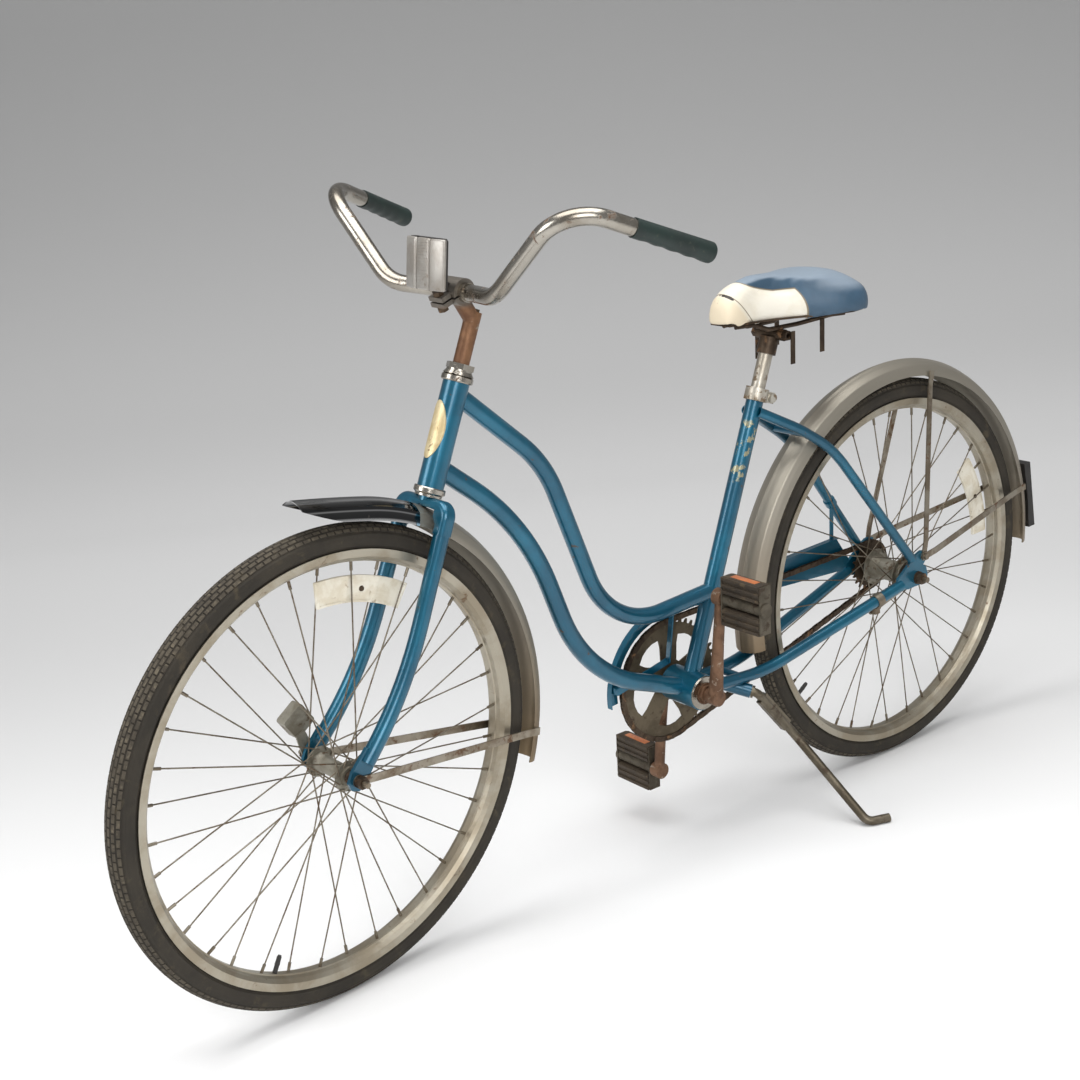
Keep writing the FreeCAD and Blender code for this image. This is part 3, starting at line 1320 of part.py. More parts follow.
def pitch_size(teeth):
    return Size(pitch_radius(teeth), "(%s / 2 / sin(180deg / %s))" % (chain_pitch.text, teeth.text))


def toothed(body, teeth, half):
    # Disc and one tooth on the XZ plane, patterned round the Y axis.
    pitch_r = pitch_size(teeth)
    base = new_sketch(body, "XZ_Plane", -chain_y)
    circle(base, 0, 0, pitch_r - roller_radius)
    pad(body, base, 2 * half, symmetric=True)
    tooth = new_sketch(body, "XZ_Plane", -chain_y)
    low = pitch_r - roller_radius - 1
    tip = pitch_r + tooth_rise
    polygon(tooth, [(low, -3.2), (pitch_r + 0.5, -1.9), (tip, -0.8), (tip, 0.8), (pitch_r + 0.5, 1.9),
                    (low, 3.2)])
    tooth_pad = pad(body, tooth, 2 * half, symmetric=True)
    return pattern(body, tooth_pad, tooth, teeth)


cog = new_body("rear_cog")
toothed(cog, cog_teeth, sprocket_half)
boss = new_sketch(cog, "XZ_Plane", rear_flange_y)
circle(boss, 0, 0, driver_radius)
pad(cog, boss, driver_end - rear_flange_y)
hole = new_sketch(cog, "XZ_Plane")
circle(hole, 0, 0, rear_axle_radius + shaft_gap)
cog.Tip = pocket(cog, hole, 8 * dropout_y)
add_node(cog, "rear_cog")

wheel = new_body("chainwheel")
toothed(wheel, chainwheel_teeth, sprocket_half)
window_out = pitch_size(chainwheel_teeth) - 20
window = new_sketch(wheel, "XZ_Plane")
window_half = [(window_out * 0.98, 12), (window_out * 0.9, 25), (window_out * 0.74, 20), (33, 4)]
polygon(window, [(x, -y) for x, y in reversed(window_half)] + [(window_out, 0)] + window_half)
pattern(wheel, pocket(wheel, window, -4 * chain_y), window, 5)
hole = new_sketch(wheel, "XZ_Plane")
circle(hole, 0, 0, spindle_radius)
wheel.Tip = pocket(wheel, hole, -4 * chain_y)
wheel.Placement = Placement(Vector(), Rotation(Vector(0, -1, 0), 54))
add_node(wheel, "chainwheel", bb_place.multiply(wheel.Placement))


# One-piece crank, left arm up
def crank_arm(name, side):
    body = new_body(name)
    sections = []
    for share, y, radius in ((0.0, crank_root_y - 3, crank_root_radius),
                             (0.2, crank_root_y, crank_root_radius - 1.5),
                             (0.96, crank_eye_y - 1, crank_root_radius - 3.5)):
        sketch = new_sketch(body, "XY_Plane", side * share * crank_length)
        circle(sketch, 0, side * y, radius)
        sections.append(sketch)
    loft = body.newObject("PartDesign::AdditiveLoft", name + "_loft")
    loft.Profile = sections[0]
    loft.Sections = sections[1:]
    eye = new_sketch(body, "XZ_Plane", -side * crank_eye_y)
    circle(eye, 0, side * crank_length, crank_eye_radius)
    pad(body, eye, 17, symmetric=True)
    return body


spindle = cylinder("spindle", spindle_radius, 2 * crank_root_y, -Y * float(crank_root_y), Y)
ends = []
eye_holes = []
for side, tag in ((1, "left"), (-1, "right")):
    end_at = Y * (side * (float(crank_root_y) - 10))
    ends.append(cylinder("crank_end_" + tag, crank_root_radius + 1, 16, end_at, Y * side))
    hole_at = Vector(0, side * float(crank_eye_y) - 30, side * float(crank_length))
    eye_holes.append(cylinder("crank_hole_" + tag, pedal_axle_radius, 60, hole_at, Y))
crank_blank = fuse("crank_blank", spindle, *ends, crank_arm("arm_left", 1), crank_arm("arm_right", -1))
add_node(cut("crank", crank_blank, *eye_holes), "crank", bb_place)

crank_bits = []
for side, tag in ((1, "left"), (-1, "right")):
    crank_bits.append(ring("crank_cone_" + tag, crank_cone_radius, spindle_radius, 10,
                           Y * (side * (float(bb_half) - 5)), Y * side))
    axle_from = float(crank_eye_y) - 9
    axle_length = float(pedal_inner_y) + float(pedal_length) - axle_from - 8
    pivot = Vector(0, side * axle_from, side * float(crank_length))
    crank_bits.append(cylinder("pedal_axle_" + tag, pedal_axle_radius, axle_length, pivot, Y * side))
crank_bits.append(hex_nut("crank_locknut", crank_cone_radius - 1, spindle_radius, 5,
                          Y * (float(bb_half) + 5.2), Y))
add_node(group("crank_hardware", *crank_bits), "crank_hardware", bb_place)


# Pedals: barrel and end plates, two rubber blocks each
def pedal(tag, side):
    local = bb_place.multiply(Placement(Vector(0, 0, side * float(crank_length)), Rotation()))
    inner = float(pedal_inner_y)
    length = float(pedal_length)
    thick = float(pedal_plate)
    barrel = cylinder(tag + "_barrel", pedal_barrel_radius, pedal_length, Y * (side * inner), Y * side)
    plates = []
    plate_wide = 2 * pedal_half_thick - 4
    plate_tall = 2 * pedal_half_height - 4
    for y in (inner + thick / 2, inner + length - thick / 2):
        at = Placement(Y * (side * y), Rotation())
        plates.append(box(tag + "_plate", plate_wide, pedal_plate, plate_tall, at))
    cap = cylinder(tag + "_cap", pedal_barrel_radius + 1, 3, Y * (side * (inner + length)), Y * side)
    bore = cylinder(tag + "_bore", pedal_axle_radius + shaft_gap, length - 6,
                    Y * (side * (inner - 1)), Y * side)
    cage = cut(tag + "_cage", fuse(tag + "_blank", barrel, *plates, cap), bore)
    add_node(cage, tag + "_cage", local)
    blocks = []
    block_height = pedal_half_height - pedal_barrel_radius - 1.0
    for up in (1, -1):
        body = new_body(tag + "_block")
        sketch = new_sketch(body, "XZ_Plane", -side * (pedal_inner_y + pedal_length / 2))
        low = up * (pedal_half_height - block_height)
        high = up * pedal_half_height
        polygon(sketch, [(-pedal_half_thick, low), (pedal_half_thick, low), (pedal_half_thick, high - up * 4),
                         (pedal_half_thick - 4, high), (4 - pedal_half_thick, high),
                         (-pedal_half_thick, high - up * 4)])
        pad(body, sketch, pedal_length - 2 * pedal_plate - 2 * plate_gap, symmetric=True)
        for face in (1, -1):
            for k in range(4):
                groove = new_sketch(body, "XY_Plane")
                y = side * (pedal_inner_y + pedal_length * (0.2 + 0.2 * k))
                outside = face * (pedal_half_thick + 1)
                floor = face * (pedal_half_thick - 2)
                polygon(groove, [(floor, y - 2), (outside, y - 2), (outside, y + 2), (floor, y + 2)])
                pocket(body, groove, 4 * pedal_half_height)
        blocks.append(body)
    add_node(group(tag + "_blocks", *blocks), tag + "_blocks", local)


pedal("left_pedal", 1)
pedal("right_pedal", -1)

# Chain guard: strip round the chainwheel with a straight tail over the upper run
guard_rear = Vector(80, 0, 67)
guard_tip = Vector(44, 0, 18)
to_rear = guard_rear - bb_point
rear_distance = math.hypot(to_rear.x, to_rear.z)
guard_top_angle = math.atan2(to_rear.z, to_rear.x) - math.acos(float(guard_radius) / rear_distance)
guard_low_angle = math.radians(-7)
strip = new_body("guard_strip")
sketch = new_sketch(strip, "XY_Plane")
guard_out = guard_y - guard_thick
polygon(sketch, [(guard_radius - guard_width, guard_y), (guard_radius - guard_width, guard_out),
                 (guard_radius, guard_out), (guard_radius, guard_y + guard_lip),
                 (guard_radius - guard_thick, guard_y + guard_lip), (guard_radius - guard_thick, guard_y)])
revolve(strip, sketch, math.degrees(guard_top_angle - guard_low_angle), reverse=True)
strip.Placement = bb_place.multiply(pointed(Vector(), math.degrees(guard_low_angle)))
tail_way = Vector(-math.sin(guard_top_angle), 0, math.cos(guard_top_angle))
tail_out = Vector(math.cos(guard_top_angle), 0, math.sin(guard_top_angle))
tail_from = bb_point + tail_out * float(guard_radius)
tail_end = tail_from + tail_way * (guard_rear - tail_from).dot(tail_way)


def plate_shape(corners, y_from, depth):
    wire = Part.makePolygon([Vector(c.x, y_from, c.z) for c in corners + corners[:1]])
    return Part.Face(wire).extrude(Y * depth)


width = float(guard_width)
outer_y = float(guard_y) - float(guard_thick)
panel_low = 40
tail_corners = [tail_from, tail_end, guard_tip, guard_tip + tail_way * -18 - tail_out * 14,
                tail_from + tail_way * 170 - tail_out * panel_low,
                tail_from + tail_way * 60 - tail_out * width, tail_from - tail_out * width]
tail_panel = plain("guard_tail", plate_shape(tail_corners, outer_y, float(guard_thick)))
lip_inward = tail_out * -float(guard_thick)
lip_corners = [tail_from, tail_end, tail_end + lip_inward, tail_from + lip_inward]
tail_lip = plain("guard_tail_lip", plate_shape(lip_corners, outer_y, float(guard_thick) + float(guard_lip)))
add_node(fuse("chain_guard", strip, tail_panel, tail_lip), "chain_guard")

# Guard bracket from the top tube, and clip to the right seat stay
tab_top = Vector(506, 0, 58)
tab_low = Vector(500, -18, -30)
tab_way = tab_low - tab_top
tab_at = Placement((tab_top + tab_low) * 0.5, Rotation(Vector(0, -0.2, 1), Vector(), tab_way * -1, "ZXY"))
tab_plate = box("guard_tab", 10, 2.5, tab_way.Length, tab_at)
top_space = sweep("top_tube_space", top_tube_path, [200, 138], top_tube_radius)
bar_far = pointed(bb_point, 8).multVec(Vector(float(guard_radius) - 7, -34, 0))
bar_near = Vector(500, -20, -30)
bar_run = bar_far - bar_near
guard_bar = box("guard_bar", bar_run.Length + 8, 2.5, 11,
                Placement((bar_near + bar_far) * 0.5, Rotation(Vector(1, 0, 0), bar_run)))
finger_depth = float(guard_y) + float(plate_gap) + 33
guard_finger = box("guard_finger", 9, -finger_depth, 10,
                   Placement(Vector(bar_far.x, -33 + finger_depth / 2, bar_far.z), Rotation()))
guard_arm = cut("guard_arm", fuse("guard_arm_blank", tab_plate, guard_bar, guard_finger), top_space)
clip_x = 92
stay_a = Vector(*seat_stay_line[2])
stay_b = Vector(*seat_stay_line[3])
share = (clip_x - stay_a.x) / (stay_b.x - stay_a.x)
grip_mid = flip(stay_a + (stay_b - stay_a) * share)
grip_axis = flip(stay_b - stay_a).normalize()
stay_ring = ring("guard_clip_ring", seat_stay_radius + 2, seat_stay_radius, 12,
                 grip_mid - grip_axis * 6, grip_axis)
lip_z = (tail_end + tail_way * (clip_x - tail_end.x) / tail_way.x).z + 2 * float(plate_gap)
stay_low = grip_mid.z - float(seat_stay_radius)
tab_centre = Vector(clip_x, float(guard_y) + 2.2, (stay_low + lip_z) / 2)
stay_tab = box("guard_clip_tab", 8, 2, stay_low - lip_z, Placement(tab_centre, Rotation()))
stay_hole = cylinder("guard_clip_hole", seat_stay_radius, 60, grip_mid - grip_axis * 30, grip_axis)
guard_clip = cut("guard_clip", fuse("guard_clip_blank", stay_ring, stay_tab), stay_hole)
add_node(group("guard_bracket", guard_arm, guard_clip), "guard_bracket")


# Chain: two rows of link plates round both sprockets, rollers where no tooth passes
def chain_loop():
    big = pitch_radius(chainwheel_teeth)
    small = pitch_radius(cog_teeth)
    back = -bb_point
    distance = math.hypot(back.x, back.z)
    base = math.atan2(back.z, back.x)
    open_angle = math.acos((big - small) / distance)
    top = base - open_angle
    low = base + open_angle
    straight = math.sqrt(distance ** 2 - (big - small) ** 2)
    wrap_big = 2 * math.pi - 2 * open_angle
    wrap_small = 2 * open_angle
    legs = [straight, small * wrap_small, straight, big * wrap_big]
    total = sum(legs)
    count = int(round(float(chain_links)))
    spots = []
    for k in range(count):
        s = total * k / count
        if s < legs[0]:
            at = bb_point + Vector(math.cos(top), 0, math.sin(top)) * big
            way = Vector(-math.sin(top), 0, math.cos(top))
            spots.append((at + way * s, Vector(math.cos(top), 0, math.sin(top)), min(s, straight - s)))
        elif s < legs[0] + legs[1]:
            angle = top + (s - legs[0]) / small
            out = Vector(math.cos(angle), 0, math.sin(angle))
            spots.append((out * small, out, -1))
        elif s < legs[0] + legs[1] + legs[2]:
            run = s - legs[0] - legs[1]
            at = Vector(math.cos(low), 0, math.sin(low)) * small
            way = Vector(-math.sin(low), 0, math.cos(low))
            spots.append((at + way * run, Vector(math.cos(low), 0, math.sin(low)), min(run, straight - run)))
        else:
            angle = low + (s - legs[0] - legs[1] - legs[2]) / big
            out = Vector(math.cos(angle), 0, math.sin(angle))
            spots.append((bb_point + out * big, out, -1))
    return spots


chain_spots = chain_loop()


def link_band(offset, depth):
    # One row of side plates with a narrow waist between pins.
    edges = []
    count = len(chain_spots)
    for sign in (1, -1):
        points = []
        for k in range(count):
            spot, out, run = chain_spots[k]
            after, out_after, run_after = chain_spots[(k + 1) % count]
            side = (after - spot).normalize() * 2.2
            points.append(spot + out * (sign * float(chain_plate_radius)) - side)
            points.append(spot + out * (sign * float(chain_plate_radius)) + side)
            mid_out = (out + out_after).normalize()
            points.append((spot + after) * 0.5 + mid_out * (sign * float(chain_plate_radius) * 0.72))
        edges.append(Part.makePolygon([Vector(p.x, offset, p.z) for p in points + points[:1]]))
    face = Part.makeFace(edges, "Part::FaceMakerBullseye")
    return face.extrude(Y * depth)


inner_half = float(chain_inner_half)
depth = float(chain_plate)
line_y = float(chain_y)
pieces = [link_band(line_y + inner_half, depth), link_band(line_y - inner_half - depth, depth)]
wheel_pitch = pitch_radius(chainwheel_teeth)
roller_clear = wheel_pitch + float(tooth_rise) + float(roller_radius) + float(fit_gap)
clear_run = math.sqrt(roller_clear ** 2 - wheel_pitch ** 2)
for spot, out, run in chain_spots:
    if run > clear_run:
        at = spot + Y * (line_y - inner_half)
        pieces.append(Part.makeCylinder(float(roller_radius), 2 * inner_half, at, Y))
add_node(plain("chain", Part.makeCompound(pieces)), "chain")

doc.recompute()

# Stand the bicycle on the ground: lean to the left, origin under the middle of its box
leaned = Placement(Vector(), Rotation(Vector(1, 0, 0), -float(lean_angle)))
for obj, local in nodes:
    obj.Placement = leaned.multiply(local)
doc.recompute()
whole = Part.makeCompound([obj.Shape for obj, local in nodes]).optimalBoundingBox(False, False)
middle = whole.Center
shift = Placement(Vector(-middle.x, -middle.y, -whole.ZMin), Rotation())
for obj, local in nodes:
    obj.Placement = shift.multiply(leaned).multiply(local)
doc.recompute()

for obj in doc.Objects:
    if "Invalid" in obj.State or "Error" in obj.State:
        raise RuntimeError("%s is %s" % (obj.Name, obj.State))
os.makedirs("parts", exist_ok=True)
for obj, local in nodes:
    if obj.Shape.isNull() or not obj.Shape.isValid() or not obj.Shape.Solids:
        raise RuntimeError("%s has no valid solid" % obj.Label)
    obj.Shape.exportStep("parts/%s.step" % obj.Label)
print("%d nodes, shift %.4f %.4f %.4f" % (len(nodes), shift.Base.x, shift.Base.y, shift.Base.z))
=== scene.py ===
import json
import math
import bmesh
import bpy
from mathutils import Matrix, Vector


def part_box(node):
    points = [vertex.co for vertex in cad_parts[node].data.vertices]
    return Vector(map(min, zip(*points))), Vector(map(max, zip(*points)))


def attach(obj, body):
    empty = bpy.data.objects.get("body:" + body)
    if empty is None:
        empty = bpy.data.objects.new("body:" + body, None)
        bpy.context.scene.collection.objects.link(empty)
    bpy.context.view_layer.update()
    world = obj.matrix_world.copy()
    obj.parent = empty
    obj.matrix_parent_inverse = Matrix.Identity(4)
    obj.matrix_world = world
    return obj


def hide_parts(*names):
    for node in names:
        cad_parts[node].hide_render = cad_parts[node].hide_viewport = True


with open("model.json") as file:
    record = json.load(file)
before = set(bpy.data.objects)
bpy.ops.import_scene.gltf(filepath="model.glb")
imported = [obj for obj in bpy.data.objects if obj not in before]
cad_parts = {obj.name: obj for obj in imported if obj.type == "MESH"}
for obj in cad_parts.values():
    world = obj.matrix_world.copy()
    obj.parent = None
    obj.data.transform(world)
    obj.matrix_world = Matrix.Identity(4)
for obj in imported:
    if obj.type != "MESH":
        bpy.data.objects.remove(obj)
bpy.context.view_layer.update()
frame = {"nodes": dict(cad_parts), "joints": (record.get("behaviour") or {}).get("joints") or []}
print("frame loaded:", len(frame["nodes"]), "nodes")

# places, and the crease angle, that the pieces share
layout = {"wheelbase": 1.115, "headX": 0.928, "headZ": 0.341, "headAngle": 68, "steerAngle": 5.3,
          "crease": 34}
joints = {j["name"]: j for j in frame["joints"]}
scene = bpy.context.scene


def placeOnAxis(joint):  # origin at the joint, Y along its axis, X forwards
    yAxis = Vector(joint["axis"]).normalized()
    xAxis = (Vector((1, 0, 0)) - yAxis * yAxis.x).normalized()
    zAxis = xAxis.cross(yAxis)
    turn = Matrix((xAxis, yAxis, zAxis)).transposed().to_4x4()
    return Matrix.Translation(joint["pos_m"]) @ turn


bikePlace = placeOnAxis(joints["rear_wheel_spin"])  # rear axle at the origin, bicycle upright
headPoint = Vector((layout["headX"], 0, layout["headZ"]))
headTilt = math.radians(layout["headAngle"])
headAxis = Vector((-math.cos(headTilt), 0, math.sin(headTilt)))
steerTurn = Matrix.Rotation(math.radians(layout["steerAngle"]), 4, headAxis)
steerPlace = bikePlace @ Matrix.Translation(headPoint) @ steerTurn @ Matrix.Translation(-headPoint)
frontPlace = steerPlace @ Matrix.Translation((layout["wheelbase"], 0, 0))


# mesh helpers
def toMesh(bm, name):
    mesh = bpy.data.meshes.new(name)
    bm.to_mesh(mesh)
    bm.free()
    return mesh


def addObject(name, data):
    added = bpy.data.objects.new(name, data)
    scene.collection.objects.link(added)
    return added


def setPiece(bm, name, body, place, finishes, replaces=()):
    bm.transform(place)
    mesh = toMesh(bm, name)
    piece = addObject(name, mesh)
    for finishName in finishes:
        mesh.materials.append(materials[finishName])
    mesh.shade_smooth()
    mesh.set_sharp_from_angle(angle=math.radians(layout["crease"]))
    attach(piece, body)
    if replaces:
        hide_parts(*replaces)
    return piece


def polar(x, radius, angle):  # a point round (x, 0), the angle in degrees
    turn = math.radians(angle)
    return (x + radius * math.cos(turn), radius * math.sin(turn))


def outward(angle):  # unit vector in the plane of a wheel
    x, z = polar(0, 1, angle)
    return Vector((x, 0, z))


def chain2d(bm, points, closed=False):  # edges through points that lie in the X-Y plane
    verts = [bm.verts.new((x, y, 0)) for x, y in points]
    edges = [bm.edges.new(pair) for pair in zip(verts, verts[1:])]
    if closed:
        edges.append(bm.edges.new((verts[-1], verts[0])))
    return verts, edges


def spinFull(bm, geom, steps, axis=(0, 1, 0)):
    bmesh.ops.spin(bm, geom=geom, axis=axis, cent=(0, 0, 0), dvec=(0, 0, 0), steps=steps,
                   angle=math.tau, use_merge=True)
    bmesh.ops.remove_doubles(bm, verts=bm.verts, dist=1e-6)
    bmesh.ops.recalc_face_normals(bm, faces=bm.faces)


def sweepArc(bm, section, start, sweep, steps):  # closed section carried round Y, both ends capped
    verts, edges = chain2d(bm, section, closed=True)
    bmesh.ops.contextual_create(bm, geom=verts + edges)
    turn = Matrix.Rotation(-math.radians(start), 3, "Y")
    bmesh.ops.rotate(bm, cent=(0, 0, 0), matrix=turn, verts=bm.verts)
    copy = bmesh.ops.duplicate(bm, geom=bm.faces[:] + bm.edges[:] + bm.verts[:])["geom"]
    cap = [g for g in copy if isinstance(g, bmesh.types.BMFace)]
    loop = [g for g in copy if not isinstance(g, bmesh.types.BMFace)]
    bmesh.ops.delete(bm, geom=cap, context="FACES_ONLY")
    made = bmesh.ops.spin(bm, geom=loop, axis=(0, -1, 0), cent=(0, 0, 0), dvec=(0, 0, 0), steps=steps,
                          angle=math.radians(sweep))
    last = [g for g in made["geom_last"] if isinstance(g, bmesh.types.BMEdge)]
    bmesh.ops.contextual_create(bm, geom=last)
    bmesh.ops.remove_doubles(bm, verts=bm.verts, dist=1e-6)


def addBlock(bm, size, at, bevel, segments=2):
    made = bmesh.ops.create_cube(bm, size=1)["verts"]
    bmesh.ops.scale(bm, vec=size, verts=made)
    edges = {e for v in made for e in v.link_edges}
    result = bmesh.ops.bevel(bm, geom=list(edges), offset=bevel, affect="EDGES", segments=segments,
                             profile=0.5, material=-1, clamp_overlap=True)
    made = list({v for f in result["faces"] for v in f.verts} | {v for v in made if v.is_valid})
    bmesh.ops.transform(bm, matrix=at, verts=made)


def addRod(bm, start, end, radius, segments=16, endRadius=None, material=0):
    start, end = Vector(start), Vector(end)
    along = end - start
    turn = along.to_track_quat("Z", "Y").to_matrix().to_4x4()
    place = Matrix.Translation((start + end) / 2) @ turn
    made = bmesh.ops.create_cone(bm, cap_ends=True, segments=segments, radius1=radius,
                                 radius2=radius if endRadius is None else endRadius,
                                 depth=along.length, matrix=place)["verts"]
    for face in {f for v in made for f in v.link_faces}:
        face.material_index = material
    return made


# shader helpers
def addNode(tree, kind, inputs=None, **settings):
    node = tree.nodes.new(kind)
    for key, value in settings.items():
        setattr(node, key, value)
    for key, value in (inputs or {}).items():
        socket = node.inputs[key]
        if isinstance(value, bpy.types.NodeSocket):
            tree.links.new(value, socket)
        else:
            socket.default_value = value
    return node


def rgb(red, green, blue):  # a colour as it looks on screen, 0 to 255, made linear
    shares = [c / 255 for c in (red, green, blue)]
    linear = [c / 12.92 if c <= 10 / 255 else ((c + 0.055) / 1.055) ** 2.4 for c in shares]
    return (*linear, 1)


def grey(level):
    return (level, level, level, 1)


def startGroup(name, inputs, outputs):
    tree = bpy.data.node_groups.new(name, "ShaderNodeTree")
    for label, kind, value in inputs:
        socket = tree.interface.new_socket(name=label, in_out="INPUT", socket_type=kind)
        if value is not None:
            socket.default_value = value
    for label, kind in outputs:
        tree.interface.new_socket(name=label, in_out="OUTPUT", socket_type=kind)
    return tree, tree.nodes.new("NodeGroupInput").outputs, tree.nodes.new("NodeGroupOutput").inputs


def makePatchGroup():  # soft-edged spots: rust, stains, worn paint
    inputs = [("Vector", "NodeSocketVector", None), ("Scale", "NodeSocketFloat", 20),
              ("Threshold", "NodeSocketFloat", 0.6), ("Softness", "NodeSocketFloat", 0.05)]
    outputs = [("Mask", "NodeSocketFloat"), ("Raw", "NodeSocketFloat")]
    tree, gin, gout = startGroup("patches", inputs, outputs)
    noise = {"Vector": gin["Vector"], "Scale": gin["Scale"], "Detail": 7.0, "Roughness": 0.62,
             "Distortion": 0.3}
    spots = addNode(tree, "ShaderNodeTexNoise", noise)
    low = addNode(tree, "ShaderNodeMath", {0: gin["Threshold"], 1: gin["Softness"]}, operation="SUBTRACT")
    high = addNode(tree, "ShaderNodeMath", {0: gin["Threshold"], 1: gin["Softness"]}, operation="ADD")
    mask = addNode(tree, "ShaderNodeMapRange", {"Value": spots.outputs["Fac"], "From Min": low.outputs[0],
                                                "From Max": high.outputs[0]}, interpolation_type="SMOOTHSTEP")
    tree.links.new(mask.outputs["Result"], gout["Mask"])
    tree.links.new(spots.outputs["Fac"], gout["Raw"])
    return tree


def makeGrainGroup():  # fine surface relief: pits and moulding texture
    inputs = [("Vector", "NodeSocketVector", None), ("Scale", "NodeSocketFloat", 400)]
    tree, gin, gout = startGroup("grain", inputs, [("Height", "NodeSocketFloat")])
    noise = {"Vector": gin["Vector"], "Scale": gin["Scale"], "Detail": 4.0, "Roughness": 0.7}
    fine = addNode(tree, "ShaderNodeTexNoise", noise)
    tree.links.new(fine.outputs["Fac"], gout["Height"])
    return tree


patchGroup = makePatchGroup()
grainGroup = makeGrainGroup()


def mixColour(tree, mask, first, second):
    return addNode(tree, "ShaderNodeMix", {0: mask, 6: first, 7: second}, data_type="RGBA").outputs[2]


def finish(name, look):
    # base tone, a second tone in broad clouds, spots of rust or dirt over it, and fine relief
    material = bpy.data.materials.new(name)
    material.use_nodes = True
    tree = material.node_tree
    shader = tree.nodes["Principled BSDF"]
    where = tree.nodes.new("ShaderNodeTexCoord").outputs["Object"]
    clouds = addNode(tree, "ShaderNodeGroup", node_tree=patchGroup)
    spots = addNode(tree, "ShaderNodeGroup", node_tree=patchGroup)
    grain = addNode(tree, "ShaderNodeGroup", node_tree=grainGroup)
    for node, (scale, threshold, softness) in ((clouds, look["clouds"]), (spots, look["spots"])):
        tree.links.new(where, node.inputs["Vector"])
        node.inputs["Scale"].default_value = scale
        node.inputs["Threshold"].default_value = threshold
        node.inputs["Softness"].default_value = softness
    tree.links.new(where, grain.inputs["Vector"])
    grain.inputs["Scale"].default_value = look["grain"][0]
    colour = mixColour(tree, clouds.outputs["Mask"], rgb(*look["base"]), rgb(*look["second"]))
    colour = mixColour(tree, spots.outputs["Mask"], colour, rgb(*look["spot"]))
    if "paintedReflections" in look:  # painted reflections: light and dark stripes, as polished metal mirrors a room
        arc = addNode(tree, "ShaderNodeAttribute", attribute_name="arc").outputs["Fac"]
        paintedReflections = addNode(tree, "ShaderNodeValToRGB", {"Fac": arc})
        for place, level in look["paintedReflections"]:
            paintedReflections.color_ramp.elements.new(place).color = grey(level)
        colour = mixColour(tree, look["paintedReflectionShare"], colour, paintedReflections.outputs["Color"])
    if "above" in look:  # another metal over a height
        low, high, tone, shine = look["above"]
        height = addNode(tree, "ShaderNodeSeparateXYZ", {0: where}).outputs["Z"]
        limits = {"Value": height, "From Min": low, "From Max": high}
        upper = addNode(tree, "ShaderNodeMapRange", limits).outputs["Result"]
        colour = mixColour(tree, upper, colour, rgb(*tone))
    if "patch" in look:  # remains of a worn transfer between two heights
        low, high, tone = look["patch"]
        height = addNode(tree, "ShaderNodeSeparateXYZ", {0: where}).outputs["Z"]
        middle = addNode(tree, "ShaderNodeMath", {0: height, 1: (low + high) / 2}, operation="SUBTRACT")
        offset = addNode(tree, "ShaderNodeMath", {0: middle.outputs[0]}, operation="ABSOLUTE")
        limits = {"Value": offset.outputs[0], "From Min": (high - low) * 0.5, "From Max": (high - low) * 0.42}
        band = addNode(tree, "ShaderNodeMapRange", limits)
        scale, threshold, softness = look["wear"]
        wear = {"Vector": where, "Scale": scale, "Threshold": threshold, "Softness": softness}
        worn = addNode(tree, "ShaderNodeGroup", wear, node_tree=patchGroup)
        shares = {0: band.outputs["Result"], 1: worn.outputs["Mask"]}
        left = addNode(tree, "ShaderNodeMath", shares, operation="MULTIPLY")
        colour = mixColour(tree, left.outputs[0], colour, rgb(*tone))
    tree.links.new(colour, shader.inputs["Base Color"])
    rough = addNode(tree, "ShaderNodeMapRange", {"Value": spots.outputs["Mask"], "To Min": look["rough"],
                                                 "To Max": look["spotRough"]})
    uneven = addNode(tree, "ShaderNodeMath", {0: clouds.outputs["Raw"], 1: look.get("uneven", 0.15),
                                              2: rough.outputs["Result"]}, operation="MULTIPLY_ADD")
    tree.links.new(uneven.outputs[0], shader.inputs["Roughness"])
    if look.get("metal"):
        metal = addNode(tree, "ShaderNodeMapRange", {"Value": spots.outputs["Mask"], "To Min": look["metal"],
                                                     "To Max": look.get("spotMetal", 0.2)})
        level = metal.outputs["Result"]
        if "above" in look:
            mix = addNode(tree, "ShaderNodeMix", {0: upper, 2: level, 3: shine}, data_type="FLOAT")
            level = mix.outputs[0]
        tree.links.new(level, shader.inputs["Metallic"])
    relief = addNode(tree, "ShaderNodeMath", {0: spots.outputs["Mask"], 1: look.get("spotRise", 0.0),
                                              2: grain.outputs["Height"]}, operation="MULTIPLY_ADD")
    bump = addNode(tree, "ShaderNodeBump", {"Height": relief.outputs[0], "Strength": look["grain"][1],
                                            "Distance": 0.001})
    tree.links.new(bump.outputs["Normal"], shader.inputs["Normal"])
    if look.get("coat"):
        shader.inputs["Coat Weight"].default_value = look["coat"]
        shader.inputs["Coat Roughness"].default_value = 0.12
    return material, tree, shader, colour, where


